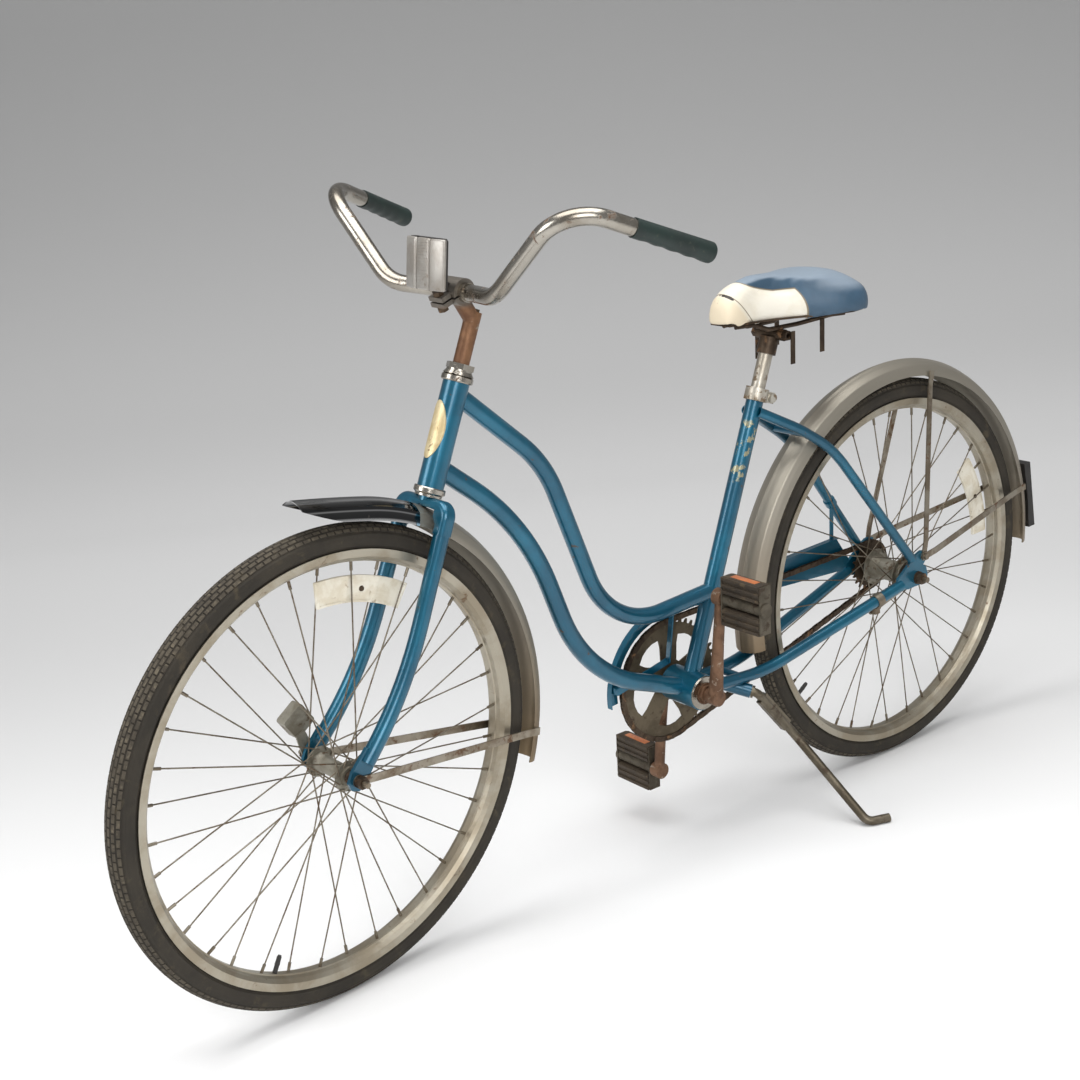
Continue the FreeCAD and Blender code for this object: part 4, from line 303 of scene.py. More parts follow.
looks = {
    "tealPaint": dict(base=(10, 98, 124), second=(8, 76, 100), clouds=(6, 0.5, 0.14), spot=(66, 54, 42),
        spots=(70, 0.68, 0.03), rough=0.26, spotRough=0.7, metal=0.55, spotMetal=0.1, grain=(900, 0.08),
        coat=0.6, spotRise=-0.6),
    "agedChrome": dict(base=(168, 163, 154), second=(140, 133, 122), clouds=(9, 0.52, 0.1), spot=(92, 66, 44),
        spots=(60, 0.63, 0.06), rough=0.14, spotRough=0.62, metal=1.0, spotMetal=0.35, grain=(500, 0.1),
        spotRise=0.5),
    "brightChrome": dict(base=(128, 129, 132), second=(104, 104, 106), clouds=(7, 0.5, 0.12),
        spot=(120, 104, 86), spots=(80, 0.7, 0.05), rough=0.06, spotRough=0.4, metal=1.0, spotMetal=0.6,
        grain=(600, 0.03), uneven=0.06,
        # painted reflections and highlight lines, light and dark by the arc across the strip
        paintedReflectionShare=0.85, paintedReflections=((0.05, 0.35), (0.2, 0.75), (0.3, 0.12), (0.42, 0.03), (0.58, 0.03),
                                   (0.62, 0.5), (0.66, 0.05), (0.84, 0.03), (0.89, 0.75))),
    "fenderSteel": dict(base=(140, 122, 96), second=(122, 102, 76), clouds=(5, 0.5, 0.1), spot=(112, 92, 70),
        spots=(48, 0.7, 0.06), rough=0.36, spotRough=0.5, metal=0.8, spotMetal=0.6, grain=(420, 0.06),
        uneven=0.2, above=(0.24, 0.5, (160, 154, 142), 0.8)),
    "rimSteel": dict(base=(168, 161, 146), second=(150, 140, 122), clouds=(12, 0.5, 0.1), spot=(104, 78, 52),
        spots=(52, 0.69, 0.06), rough=0.3, spotRough=0.6, metal=0.85, spotMetal=0.3, grain=(500, 0.12),
        uneven=0.2),
    "rustySteel": dict(base=(122, 92, 70), second=(94, 68, 50), clouds=(26, 0.5, 0.12), spot=(160, 148, 132),
        spots=(70, 0.64, 0.05), rough=0.5, spotRough=0.3, metal=0.5, spotMetal=0.9, grain=(380, 0.28),
        spotRise=-0.4),
    "darkSteel": dict(base=(84, 70, 56), second=(62, 50, 40), clouds=(30, 0.5, 0.1), spot=(124, 92, 62),
        spots=(60, 0.62, 0.06), rough=0.42, spotRough=0.65, metal=0.75, spotMetal=0.3, grain=(420, 0.2)),
    "wheelSteel": dict(base=(100, 89, 71), second=(80, 70, 54), clouds=(24, 0.5, 0.1), spot=(66, 52, 38),
        spots=(60, 0.62, 0.06), rough=0.46, spotRough=0.65, metal=0.6, spotMetal=0.3, grain=(420, 0.2)),
    "legSteel": dict(base=(112, 104, 90), second=(88, 80, 67), clouds=(26, 0.5, 0.1), spot=(70, 56, 42),
        spots=(58, 0.6, 0.06), rough=0.36, spotRough=0.6, metal=0.85, spotMetal=0.3, grain=(500, 0.15)),
    "pedalCasting": dict(base=(92, 85, 72), second=(72, 65, 53), clouds=(30, 0.5, 0.1), spot=(60, 48, 36),
        spots=(70, 0.6, 0.06), rough=0.5, spotRough=0.7, metal=0.45, spotMetal=0.2, grain=(600, 0.2)),
    "dullSteel": dict(base=(150, 142, 128), second=(122, 110, 94), clouds=(22, 0.5, 0.1), spot=(96, 70, 48),
        spots=(58, 0.6, 0.06), rough=0.34, spotRough=0.6, metal=0.9, spotMetal=0.3, grain=(500, 0.15)),
    "spokeSteel": dict(base=(132, 124, 110), second=(106, 96, 82), clouds=(30, 0.5, 0.1), spot=(88, 66, 46),
        spots=(90, 0.6, 0.06), rough=0.36, spotRough=0.6, metal=0.9, spotMetal=0.4, grain=(700, 0.1)),
    "tyreRubber": dict(base=(46, 40, 30), second=(37, 32, 24), clouds=(14, 0.5, 0.12), spot=(70, 62, 48),
        spots=(40, 0.64, 0.1), rough=0.72, spotRough=0.85, grain=(700, 0.25)),
    "treadDust": dict(base=(76, 69, 57), second=(58, 52, 43), clouds=(45, 0.5, 0.12), spot=(98, 90, 76),
        spots=(120, 0.6, 0.1), rough=0.8, spotRough=0.95, grain=(900, 0.3)),
    "gripRubber": dict(base=(20, 38, 34), second=(15, 30, 27), clouds=(24, 0.5, 0.1), spot=(70, 74, 64),
        spots=(110, 0.66, 0.08), rough=0.42, spotRough=0.7, grain=(900, 0.2)),
    "pedalRubber": dict(base=(60, 49, 35), second=(47, 38, 27), clouds=(32, 0.5, 0.12), spot=(82, 69, 51),
        spots=(90, 0.62, 0.08), rough=0.6, spotRough=0.85, grain=(700, 0.3)),
    "blackPlastic": dict(base=(34, 32, 31), second=(44, 41, 38), clouds=(20, 0.52, 0.1), spot=(84, 76, 66),
        spots=(80, 0.68, 0.08), rough=0.4, spotRough=0.7, grain=(800, 0.12)),
    "greyCasting": dict(base=(142, 138, 126), second=(118, 112, 98), clouds=(30, 0.5, 0.1), spot=(84, 68, 50),
        spots=(70, 0.62, 0.06), rough=0.45, spotRough=0.7, metal=0.6, spotMetal=0.2, grain=(500, 0.25)),
    "whiteVinyl": dict(base=(226, 221, 208), second=(214, 206, 188), clouds=(14, 0.52, 0.14),
        spot=(150, 130, 100), spots=(90, 0.72, 0.03), rough=0.38, spotRough=0.6, grain=(650, 0.22)),
    "clearLens": dict(base=(226, 220, 204), second=(210, 200, 178), clouds=(30, 0.52, 0.1),
        spot=(168, 150, 122), spots=(90, 0.68, 0.06), rough=0.22, spotRough=0.5, grain=(900, 0.1), coat=0.5),
    "silverLens": dict(base=(164, 160, 154), second=(146, 140, 132), clouds=(26, 0.5, 0.1),
        spot=(110, 98, 84), spots=(70, 0.66, 0.08), rough=0.3, spotRough=0.55, metal=0.5, spotMetal=0.2,
        grain=(900, 0.1), coat=0.3),
    "redLens": dict(base=(120, 14, 12), second=(92, 10, 10), clouds=(26, 0.5, 0.1), spot=(120, 70, 60),
        spots=(80, 0.7, 0.06), rough=0.2, spotRough=0.5, grain=(900, 0.1), coat=0.6),
    "amberLens": dict(base=(190, 112, 62), second=(168, 96, 56), clouds=(40, 0.5, 0.1), spot=(120, 84, 58),
        spots=(110, 0.66, 0.06), rough=0.3, spotRough=0.6, grain=(900, 0.15), coat=0.3),
    "stemSteel": dict(base=(130, 94, 66), second=(102, 70, 48), clouds=(30, 0.5, 0.12), spot=(160, 148, 132),
        spots=(70, 0.66, 0.05), rough=0.42, spotRough=0.3, metal=0.5, spotMetal=0.9, grain=(380, 0.2),
        above=(0.893, 0.903, (120, 114, 106), 0.95)),
    "postSteel": dict(base=(198, 193, 182), second=(172, 164, 150), clouds=(26, 0.5, 0.1), spot=(108, 90, 68),
        spots=(60, 0.57, 0.05), rough=0.3, spotRough=0.6, metal=0.8, spotMetal=0.3, grain=(500, 0.14)),
    "badgeMetal": dict(base=(216, 200, 160), second=(196, 176, 132), clouds=(40, 0.5, 0.1),
        spot=(110, 88, 60), spots=(130, 0.64, 0.06), rough=0.32, spotRough=0.6, metal=0.4, spotMetal=0.2,
        grain=(700, 0.15)),
}
looks["decalPaint"] = dict(looks["tealPaint"], patch=(0.560, 0.655, (150, 146, 118)), wear=(75, 0.56, 0.03))
materials = {name: finish(name, look)[0] for name, look in looks.items()}
print("finishes made:", len(materials))

# finish of each node that shows as it is
nodeFinish = {
    "tealPaint": ["head_tube", "top_tube", "down_tube", "bb_shell", "chain_stays", "seat_stays", "dropouts",
                  "kickstand_housing", "chain_guard", "guard_bracket", "fork"],
    "decalPaint": ["seat_tube"],
    "agedChrome": ["headset_cups", "headset_cones", "handlebar", "bb_cups"],
    "postSteel": ["seat_post", "seat_collar"],
    "brightChrome": ["front_fender"],
    "fenderSteel": ["rear_fender"],
    "rimSteel": ["front_rim", "rear_rim"],
    "stemSteel": ["stem"],
    "rustySteel": ["crank", "crank_hardware"],
    "wheelSteel": ["chainwheel"],
    "legSteel": ["kickstand_leg"],
    "pedalCasting": ["left_pedal_cage", "right_pedal_cage"],
    "darkSteel": ["chain", "rear_cog", "saddle_clamp", "saddle_pan", "front_axle_hardware",
                  "rear_axle_hardware", "stem_bolts"],
    "dullSteel": ["front_fender_stays", "rear_fender_stays", "brake_arm", "front_axle", "rear_axle"],
    "spokeSteel": ["front_spokes", "rear_spokes"],
    "greyCasting": ["front_hub", "rear_hub", "mileage_counter"],
    "tyreRubber": ["front_tyre", "rear_tyre"],
    "gripRubber": ["grips"],
    "pedalRubber": ["left_pedal_blocks", "right_pedal_blocks"],
    "blackPlastic": ["rear_reflector_case", "front_reflector_case"],
    "whiteVinyl": ["saddle_cushion"],
    "clearLens": ["front_spoke_reflector", "rear_spoke_reflector"],
    "silverLens": ["front_reflector_lens"],
    "redLens": ["rear_reflector_lens"],
    "badgeMetal": ["head_badge"],
}
for finishName, names in nodeFinish.items():
    for node in names:
        mesh = frame["nodes"][node].data
        mesh.materials.clear()
        mesh.materials.append(materials[finishName])

# tyres: casing, staggered tread blocks, valve
tyre = {"radius": 0.330, "section": 0.020, "blockHeight": 0.0013, "rows": 6, "blocks": 168, "treadHalf": 58,
        "beadHalf": 0.0125, "beadRadius": 0.2945, "wall": 0.0035, "steps": 144, "gap": 0.0008,
        "valveRadius": 0.0032, "valveLength": 0.024, "valveRoot": 0.281,
        "ribs": {66: 0.0006, 70: 0.0006, 112: 0.0007}, "side": (62, 66, 70, 74, 84, 96, 108, 112, 116, 120),
        "casingSink": 0.0002, "capStart": 0.55, "capRise": 0.002}


def makeTyre(name, body, place, node, valveAngle):
    bm = bmesh.new()
    middle = tyre["radius"] - tyre["section"]
    outer = tyre["section"] - tyre["blockHeight"]

    tread, ribs = tyre["treadHalf"], tyre["ribs"]  # ribs: raised rings on the sidewall, by angle
    outside = [polar(middle, outer + ribs.get(a, 0), -a) for a in reversed(tyre["side"])]
    outside += [polar(middle, outer - tyre["casingSink"], a) for a in range(-tread, tread + 1, 12)]
    outside += [polar(middle, outer + ribs.get(a, 0), a) for a in tyre["side"]]
    inside = [polar(middle, outer - tyre["wall"], a) for a in range(120, -121, -24)]
    far, near = tyre["beadHalf"], tyre["beadHalf"] - tyre["wall"]
    leftBead, rightBead = [[(tyre["beadRadius"], y) for y in pair] for pair in ((far, near), (-near, -far))]
    verts, edges = chain2d(bm, outside + leftBead + inside + rightBead, closed=True)
    spinFull(bm, verts + edges, tyre["steps"])
    rowAngle = 2 * tread / tyre["rows"]
    pitch = math.tau / tyre["blocks"]
    for row in range(tyre["rows"]):
        before = set(bm.faces)
        low = -tread + row * rowAngle
        verts, edges = chain2d(bm, [polar(middle, outer, low), polar(middle, outer, low + rowAngle)])
        stagger = Matrix.Rotation(pitch * 0.5 * (row % 2), 3, "Y")
        bmesh.ops.rotate(bm, cent=(0, 0, 0), matrix=stagger, verts=verts)
        bmesh.ops.spin(bm, geom=verts + edges, axis=(0, 1, 0), cent=(0, 0, 0), dvec=(0, 0, 0),
                       steps=tyre["blocks"], angle=math.tau, use_merge=True)
        faces = [f for f in bm.faces if f not in before]
        bm.normal_update()
        core = faces[0].calc_center_median()
        if faces[0].normal.dot(core - Vector((0, core.y, 0))) < 0:
            bmesh.ops.reverse_faces(bm, faces=faces)
            bm.normal_update()
        for k in range(2):
            bmesh.ops.inset_individual(bm, faces=faces, thickness=tyre["gap"], depth=tyre["blockHeight"] / 2)
        for face in faces:
            face.material_index = 1
    spoke = outward(valveAngle)
    root, tip = spoke * tyre["valveRoot"], spoke * (tyre["valveRoot"] - tyre["valveLength"])
    addRod(bm, root, tip, tyre["valveRadius"], 20, material=2)
    capRoot, capTip = root + (tip - root) * tyre["capStart"], tip - spoke * tyre["capRise"]
    addRod(bm, capRoot, capTip, tyre["valveRadius"] * 1.15, 12, tyre["valveRadius"] * 0.8, material=2)
    setPiece(bm, name, body, place, ["tyreRubber", "treadDust", "blackPlastic"], [node])


makeTyre("frontTyre", "front_wheel", frontPlace, "front_tyre", -65)
makeTyre("rearTyre", "rear_wheel", bikePlace, "rear_tyre", -35)
print("tyres made")

# grips: flared rubber sleeves with finger hollows underneath
grip = {"bend": (0.898, 0.233, 0.720), "end": (0.708, 0.295, 0.646), "length": 0.116, "bore": 0.01125,
        "inner": 0.0125, "outer": 0.0136, "hollows": 4, "depth": 0.0012, "rings": 44, "steps": 40,
        "flareCurve": 1.3, "endShare": 0.965, "endRound": 0.0022, "endWall": 0.0038, "margin": 0.1,
        "skin": 0.001}


def mirrored(point, side):
    return Vector((point[0], point[1] * side, point[2]))


def makeGrip(name, side):
    bm = bmesh.new()
    bend, end = mirrored(grip["bend"], side), mirrored(grip["end"], side)
    along = (end - bend).normalized()
    length, rings, bore = grip["length"], grip["rings"], grip["bore"]
    turn = along.to_track_quat("X", "Z").to_matrix().to_4x4()
    place = Matrix.Translation(end - along * length) @ turn
    skin = []
    for k in range(rings + 1):
        share = k / rings
        radius = grip["inner"] + (grip["outer"] - grip["inner"]) * share ** grip["flareCurve"]
        late = max(0, (share - grip["endShare"]) / (1 - grip["endShare"]))
        skin.append((length * share, radius - grip["endRound"] * late ** 2))
    wall = length - grip["endWall"]
    verts, edges = chain2d(bm, [(wall, 0), (wall, bore), (0, bore)] + skin + [(length, 0)])
    spinFull(bm, verts + edges, grip["steps"], axis=(1, 0, 0))
    down = place.to_3x3().inverted() @ Vector((0, 0, -1))
    margin = grip["margin"] * length
    pitch = (length - 2 * margin) / grip["hollows"]
    for vert in bm.verts:
        spoke = Vector((0, vert.co.y, vert.co.z))
        if spoke.length < bore + grip["skin"]:
            continue
        facing = max(0, spoke.normalized().dot(down))
        if margin < vert.co.x < length - margin:
            wave = 0.5 - 0.5 * math.cos(math.tau * (vert.co.x - margin) / pitch)
            vert.co -= spoke.normalized() * grip["depth"] * wave * facing ** 2
    return setPiece(bm, name, "steering", steerPlace @ place, ["gripRubber"])


leftGrip = makeGrip("leftGrip", 1)
rightGrip = makeGrip("rightGrip", -1)
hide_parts("grips")
print("grips made")

# front reflector: three moulded panels in a thin dark surround
lamp = {"place": (0.916, 0, 0.633), "tilt": -5, "panel": (0.0060, 0.0246, 0.0650), "turn": 12,
        "bevel": 0.0028, "lift": 0.0002, "setback": 0.0014, "spacing": 1.02, "ribs": 15, "ribRadius": 0.00055,
        "ribSpan": 0.9, "ribReach": 0.38, "ribLift": 0.0001}


def makeFrontReflector():
    bm = bmesh.new()
    depth, width, height = lamp["panel"]
    for k in (-1, 0, 1):
        ahead = depth / 2 + lamp["lift"] - lamp["setback"] * abs(k)
        side = Matrix.Translation((ahead, k * width * lamp["spacing"], 0))
        turn = Matrix.Rotation(math.radians(lamp["turn"] * k), 4, "Z")
        addBlock(bm, (depth, width, height), side @ turn, lamp["bevel"], 3)
    for k in range(lamp["ribs"]):
        z = (k - (lamp["ribs"] - 1) / 2) * height * lamp["ribSpan"] / lamp["ribs"]
        x, y = depth + lamp["ribLift"], width * lamp["ribReach"]
        addRod(bm, (x, -y, z), (x, y, z), lamp["ribRadius"], 6)
    tilt = Matrix.Rotation(math.radians(lamp["tilt"]), 4, "Y")
    place = steerPlace @ Matrix.Translation(lamp["place"]) @ tilt
    setPiece(bm, "frontReflectorPanels", "steering", place, ["silverLens"],
             ["front_reflector_lens"])


makeFrontReflector()

# spoke reflectors: curved bar with three sunk panels on both faces, screw in the middle
spokeReflector = {"inner": 0.224, "height": 0.036, "half": 0.0026, "arc": 34, "steps": 24, "frame": 0.0028,
                  "sink": 0.0007, "edge": 0.0009, "screw": 0.0042, "screwRise": 0.0008}


def makeSpokeReflector(name, body, place, node, angle):
    bm = bmesh.new()
    low, half = spokeReflector["inner"], spokeReflector["half"]
    high = low + spokeReflector["height"]
    start = angle - spokeReflector["arc"] / 2
    section = [(low, -half), (high, -half), (high, half), (low, half)]
    sweepArc(bm, section, start, spokeReflector["arc"], spokeReflector["steps"])
    bmesh.ops.recalc_face_normals(bm, faces=bm.faces)
    rim = [e for e in bm.edges if e.calc_face_angle(0) > 0.8]
    bmesh.ops.bevel(bm, geom=rim, offset=spokeReflector["edge"], affect="EDGES", segments=2,
                    profile=0.5, material=-1)
    bm.normal_update()
    third = spokeReflector["arc"] / 3

    def panelOf(face):
        core = face.calc_center_median()
        return (math.degrees(math.atan2(core.z, core.x)) % 360 - start) // third

    for side in (-1, 1):
        for k in range(3):
            faces = [f for f in bm.faces if f.normal.y * side > 0.9 and panelOf(f) == k]
            bmesh.ops.inset_region(bm, faces=faces, thickness=spokeReflector["frame"],
                                   depth=-spokeReflector["sink"], use_boundary=True, use_even_offset=True)
    middle, screw = outward(angle) * (low + high) / 2, spokeReflector["screw"]
    for side in (-1, 1):
        heights = (half / 2, half + spokeReflector["screwRise"])
        foot, head = [middle + Vector((0, side * y, 0)) for y in heights]
        addRod(bm, foot, head, screw, 18, screw * 0.8, material=1)
    setPiece(bm, name, body, place, ["clearLens", "darkSteel"], [node])


makeSpokeReflector("frontSpokeReflector", "front_wheel", frontPlace, "front_spoke_reflector", 105)
makeSpokeReflector("rearSpokeReflector", "rear_wheel", bikePlace, "rear_spoke_reflector", 160)
print("reflectors made")

# fenders: half-round strip with a raised middle bead and side creases
fender = {"crown": 0.362, "half": 0.029, "edge": 0.336, "wall": 0.0012, "bead": 0.0012, "crease": 0.0007,
          "front": (85, 112), "rear": (-8, 192), "flare": 0.013, "flareReach": 0.105, "bill": 0.011,
          "billLength": 0.042, "billRoot": 0.026, "billReach": 0.06, "noseX": 0.2, "chromeArc": 30,
          "stepsPerDegree": 0.9}


def fenderProfile():
    middle, half, wall = fender["crown"] - fender["half"], fender["half"], fender["wall"]
    last = math.degrees(math.acos((fender["edge"] - middle) / half))
    bead, crease = fender["bead"], fender["crease"]
    lift = {0: bead, 3.5: bead, 7: 0.0002, 40: 0.0001, 44: crease, 48: crease, 52: 0.0001}
    angles = [0, 3.5, 7, 14, 22, 31, 40, 44, 48, 52, 60, 68, 76, last]
    spread = [-a for a in reversed(angles[1:])] + angles
    outside = [polar(middle, half - bead + lift.get(abs(a), 0), a) for a in spread]
    return outside + [polar(middle, half - bead - wall, a) for a in reversed(spread)]


def makeFender(name, body, place, node, start, sweep, nosed):
    bm = bmesh.new()
    sweepArc(bm, fenderProfile(), 0, sweep, int(sweep * fender["stepsPerDegree"]))
    arc = bm.verts.layers.float.new("arc")  # share of the way from crown line to edge
    for vert in bm.verts:
        rise = math.hypot(vert.co.x, vert.co.z) - fender["crown"] + fender["half"]
        vert[arc] = math.atan2(abs(vert.co.y), rise) / (math.pi / 2)
    if nosed:  # the front end tapers to a lifted bill
        cores = {f: f.calc_center_median() for f in bm.faces}
        near = [f for f, core in cores.items() if core.x > fender["noseX"] and core.z < fender["billReach"]]
        geom = list({v for f in near for v in f.verts}) + list({e for f in near for e in f.edges}) + near
        point = (fender["crown"] - fender["bill"], 0, 0)
        normal = (-fender["billLength"], 0, fender["bill"] - fender["billRoot"])
        cut = bmesh.ops.bisect_plane(bm, geom=geom, dist=1e-6, plane_co=point, plane_no=normal,
                                     clear_outer=True)
        rim = [g for g in cut["geom_cut"] if isinstance(g, bmesh.types.BMEdge)]
        bmesh.ops.edgeloop_fill(bm, edges=rim)
        for vert in bm.verts:
            if vert.co.x > fender["noseX"] and vert.co.z < fender["flareReach"]:
                vert.co.x += fender["flare"] * (1 - vert.co.z / fender["flareReach"]) ** 2
        for face in bm.faces:  # brighter ahead of the crown than behind it; the chrome ahead carries painted reflection stripes
            core = face.calc_center_median()
            face.material_index = int(math.degrees(math.atan2(core.z, core.x)) < fender["chromeArc"])
    bmesh.ops.recalc_face_normals(bm, faces=bm.faces)
    turn = Matrix.Rotation(-math.radians(start), 4, "Y")
    setPiece(bm, name, body, place @ turn, ["fenderSteel", "brightChrome"], [node])


makeFender("frontFender", "steering", frontPlace, "front_fender", *fender["front"], True)
makeFender("rearFender", "frame", bikePlace, "rear_fender", *fender["rear"], False)
print("fenders made")

# pedals: two rubber blocks with tread bars, amber reflectors in their outer edges
pedal = {"middle": 0.126, "length": 0.0756, "halfThick": 0.013, "low": 0.011, "high": 0.039, "bevel": 0.0028,
         "bars": 3, "bar": (0.0022, 0.0052), "barSpread": 0.7052, "barShort": 0.001, "barBevel": 0.0009,
         "reflector": (0.0125, 0.050, 0.0022), "reflectorSink": 0.35, "reflectorBevel": 0.0006}


def makePedal(tag, side, joint):
    place = placeOnAxis(joints[joint])
    bm = bmesh.new()
    glow = bmesh.new()
    height, length = pedal["high"] - pedal["low"], pedal["length"]
    barDepth, barHeight = pedal["bar"]
    face = pedal["halfThick"] - barDepth
    barSize = (2 * barDepth, length - pedal["barShort"], barHeight)
    for up in (-1, 1):
        core = Vector((0, side * pedal["middle"], up * (pedal["high"] + pedal["low"]) / 2))
        addBlock(bm, (2 * face, length, height), Matrix.Translation(core), pedal["bevel"])
        for k in range(pedal["bars"]):
            z = (k - (pedal["bars"] - 1) / 2) * height * pedal["barSpread"] / (pedal["bars"] - 1)
            for x in (-face, face):
                addBlock(bm, barSize, Matrix.Translation(core + Vector((x, 0, z))), pedal["barBevel"])
        at = Vector((0, core.y, up * (pedal["high"] - pedal["reflector"][2] * pedal["reflectorSink"])))
        addBlock(glow, pedal["reflector"], Matrix.Translation(at), pedal["reflectorBevel"])
    setPiece(bm, tag + "PedalRubbers", tag + "_pedal", place, ["pedalRubber"],
             [tag + "_pedal_blocks"])
    setPiece(glow, tag + "PedalReflectors", tag + "_pedal", place, ["amberLens"])


makePedal("left", 1, "left_pedal_spin")
makePedal("right", -1, "right_pedal_spin")
print("pedals made")

# chain: inner and outer links from pin to pin, seated in the tooth gaps of both sprockets
chain = {"pitch": 0.0127, "bigTeeth": 48, "bigTurn": 54, "smallTeeth": 20, "y": -0.045, "innerHalf": 0.00180,
         "plate": 0.0007, "plateRadius": 0.0041, "roller": 0.0038, "pin": 0.0018, "pinHalf": 0.0036,
         "outerStep": 1.55, "innerStep": 0.5}


def linkTemplate(outer):
    bm = bmesh.new()
    half = chain["pitch"] / 2
    offset = chain["innerHalf"] + chain["plate"] * chain["outerStep" if outer else "innerStep"]
    for side in (-1, 1):
        hull = []
        for end in (-half, half):
            at = Vector((end, side * offset, 0))
            thick = Vector((0, chain["plate"] / 2, 0))
            hull += addRod(bm, at - thick, at + thick, chain["plateRadius"], 10)
        bmesh.ops.delete(bm, geom=list({f for v in hull for f in v.link_faces}), context="FACES_ONLY")
        bmesh.ops.convex_hull(bm, input=hull)
    if outer:  # pins join outer plates, rollers sit between inner ones
        reach, radius, segments = chain["pinHalf"], chain["pin"], 8
    else:
        reach, radius, segments = chain["innerHalf"], chain["roller"], 10
    for end in (-half, half):
        addRod(bm, (end, -reach, 0), (end, reach, 0), radius, segments)
    return toMesh(bm, "linkTemplate")


def chainPins():
    bottom = bikePlace.inverted() @ Vector(joints["crank_spin"]["pos_m"])
    reach = Vector((bottom.x, bottom.z)).length
    slope = math.degrees(math.atan2(bottom.z, bottom.x))
    radii = [chain["pitch"] / 2 / math.sin(math.pi / chain[key]) for key in ("bigTeeth", "smallTeeth")]
    lean = math.degrees(math.acos(-(radii[0] - radii[1]) / reach))

    def seats(teeth, first, high, low):  # gap angles between two limits, falling
        step = 360 / teeth
        gaps = [first + step * (k + 0.5) for k in range(2 * teeth, -2 * teeth, -1)]
        return [a for a in gaps if low <= a <= high]

    def onWheel(core, radius, angle):
        return Vector((core[0], chain["y"], core[1])) + outward(angle) * radius

    bigSeats = seats(chain["bigTeeth"], chain["bigTurn"], slope + lean, slope - lean)
    smallSeats = seats(chain["smallTeeth"], 0, slope - lean + 360, slope + lean)
    big = [onWheel((bottom.x, bottom.z), radii[0], a) for a in bigSeats]
    small = [onWheel((0, 0), radii[1], a) for a in smallSeats]
    pins = []
    for arc, following in ((big, small), (small, big)):
        pins += arc
        gap = following[0] - arc[-1]
        count = round(gap.length / chain["pitch"])
        pins += [arc[-1] + gap * k / count for k in range(1, count)]
    return pins


def makeChain():
    bm = bmesh.new()
    templates = [linkTemplate(False), linkTemplate(True)]
    pins = chainPins()
    for k, pin in enumerate(pins):
        following = pins[(k + 1) % len(pins)]
        along = (following - pin).normalized()
        turn = Matrix((along, Vector((0, 1, 0)), along.cross(Vector((0, 1, 0))))).transposed().to_4x4()
        old = set(bm.verts)
        bm.from_mesh(templates[k % 2])
        bmesh.ops.transform(bm, matrix=Matrix.Translation((pin + following) / 2) @ turn,
                            verts=[v for v in bm.verts if v not in old])
    for template in templates:
        bpy.data.meshes.remove(template)
    bmesh.ops.recalc_face_normals(bm, faces=bm.faces)
    print("chain links:", len(pins))
    setPiece(bm, "chainLinks", "frame", bikePlace, ["darkSteel"], ["chain"])


makeChain()

# saddle: padded cover blown up over the pan, white sides, blue top and rear, seams drawn in
saddle = {"voxel": 0.005, "shrink": 0.975, "pressure": 4.0, "frames": 20, "cap": 0.009, "seamDepth": 0.0016,
          "seamWidth": 0.0022, "noseX": 0.402, "baseZ": 0.479, "rise": 0.055,
          "rearSeam": (0.260, 0.008, 0.020), "capSeam": (0.388, 0.525, 0.9), "panelTop": 0.041,
          "tipRise": 0.02, "blueTip": 0.356, "blueRound": 0.05, "tear": (0.386, 0.026, 0.520),
          "tearSize": (0.0034, 0.03, 0.0085), "flare": 0.003, "skirt": (0.006, 0.015), "skirtReach": 0.2,
          "layers": ("seam", "capSeam", "tear", "facing"), "blue": (56, 82, 103), "deepBlue": (48, 72, 91),
          "paintedTopSheen": (158, 170, 182), "capTone": (218, 204, 178), "crackTone": (104, 92, 74),
          "seamTone": (120, 108, 88), "tearTone": (38, 30, 24), "crackScale": 42.0, "crackSpread": 17.0,
          "blueScale": 12.0, "raggedScale": 260.0}


def saddleSeam(p):  # over 0 on the white panels, under 0 on the blue one
    height = (p.z - saddle["baseZ"]) / saddle["rise"]
    place, slant, curve = saddle["rearSeam"]
    side = p.x - (place + slant * height + curve * max(0, height) ** 4)
    back = saddle["blueTip"] - p.x
    taper = math.sqrt(min(1, max(0, back / saddle["blueRound"])))
    line = saddle["baseZ"] + saddle["panelTop"] + saddle["tipRise"] * (1 - taper)
    return min(side, max(line - p.z, -back))


def saddleCapSeam(p):  # slanting seam that closes the nose
    x, z, slant = saddle["capSeam"]
    return p.x - (x - (z - p.z) * slant)


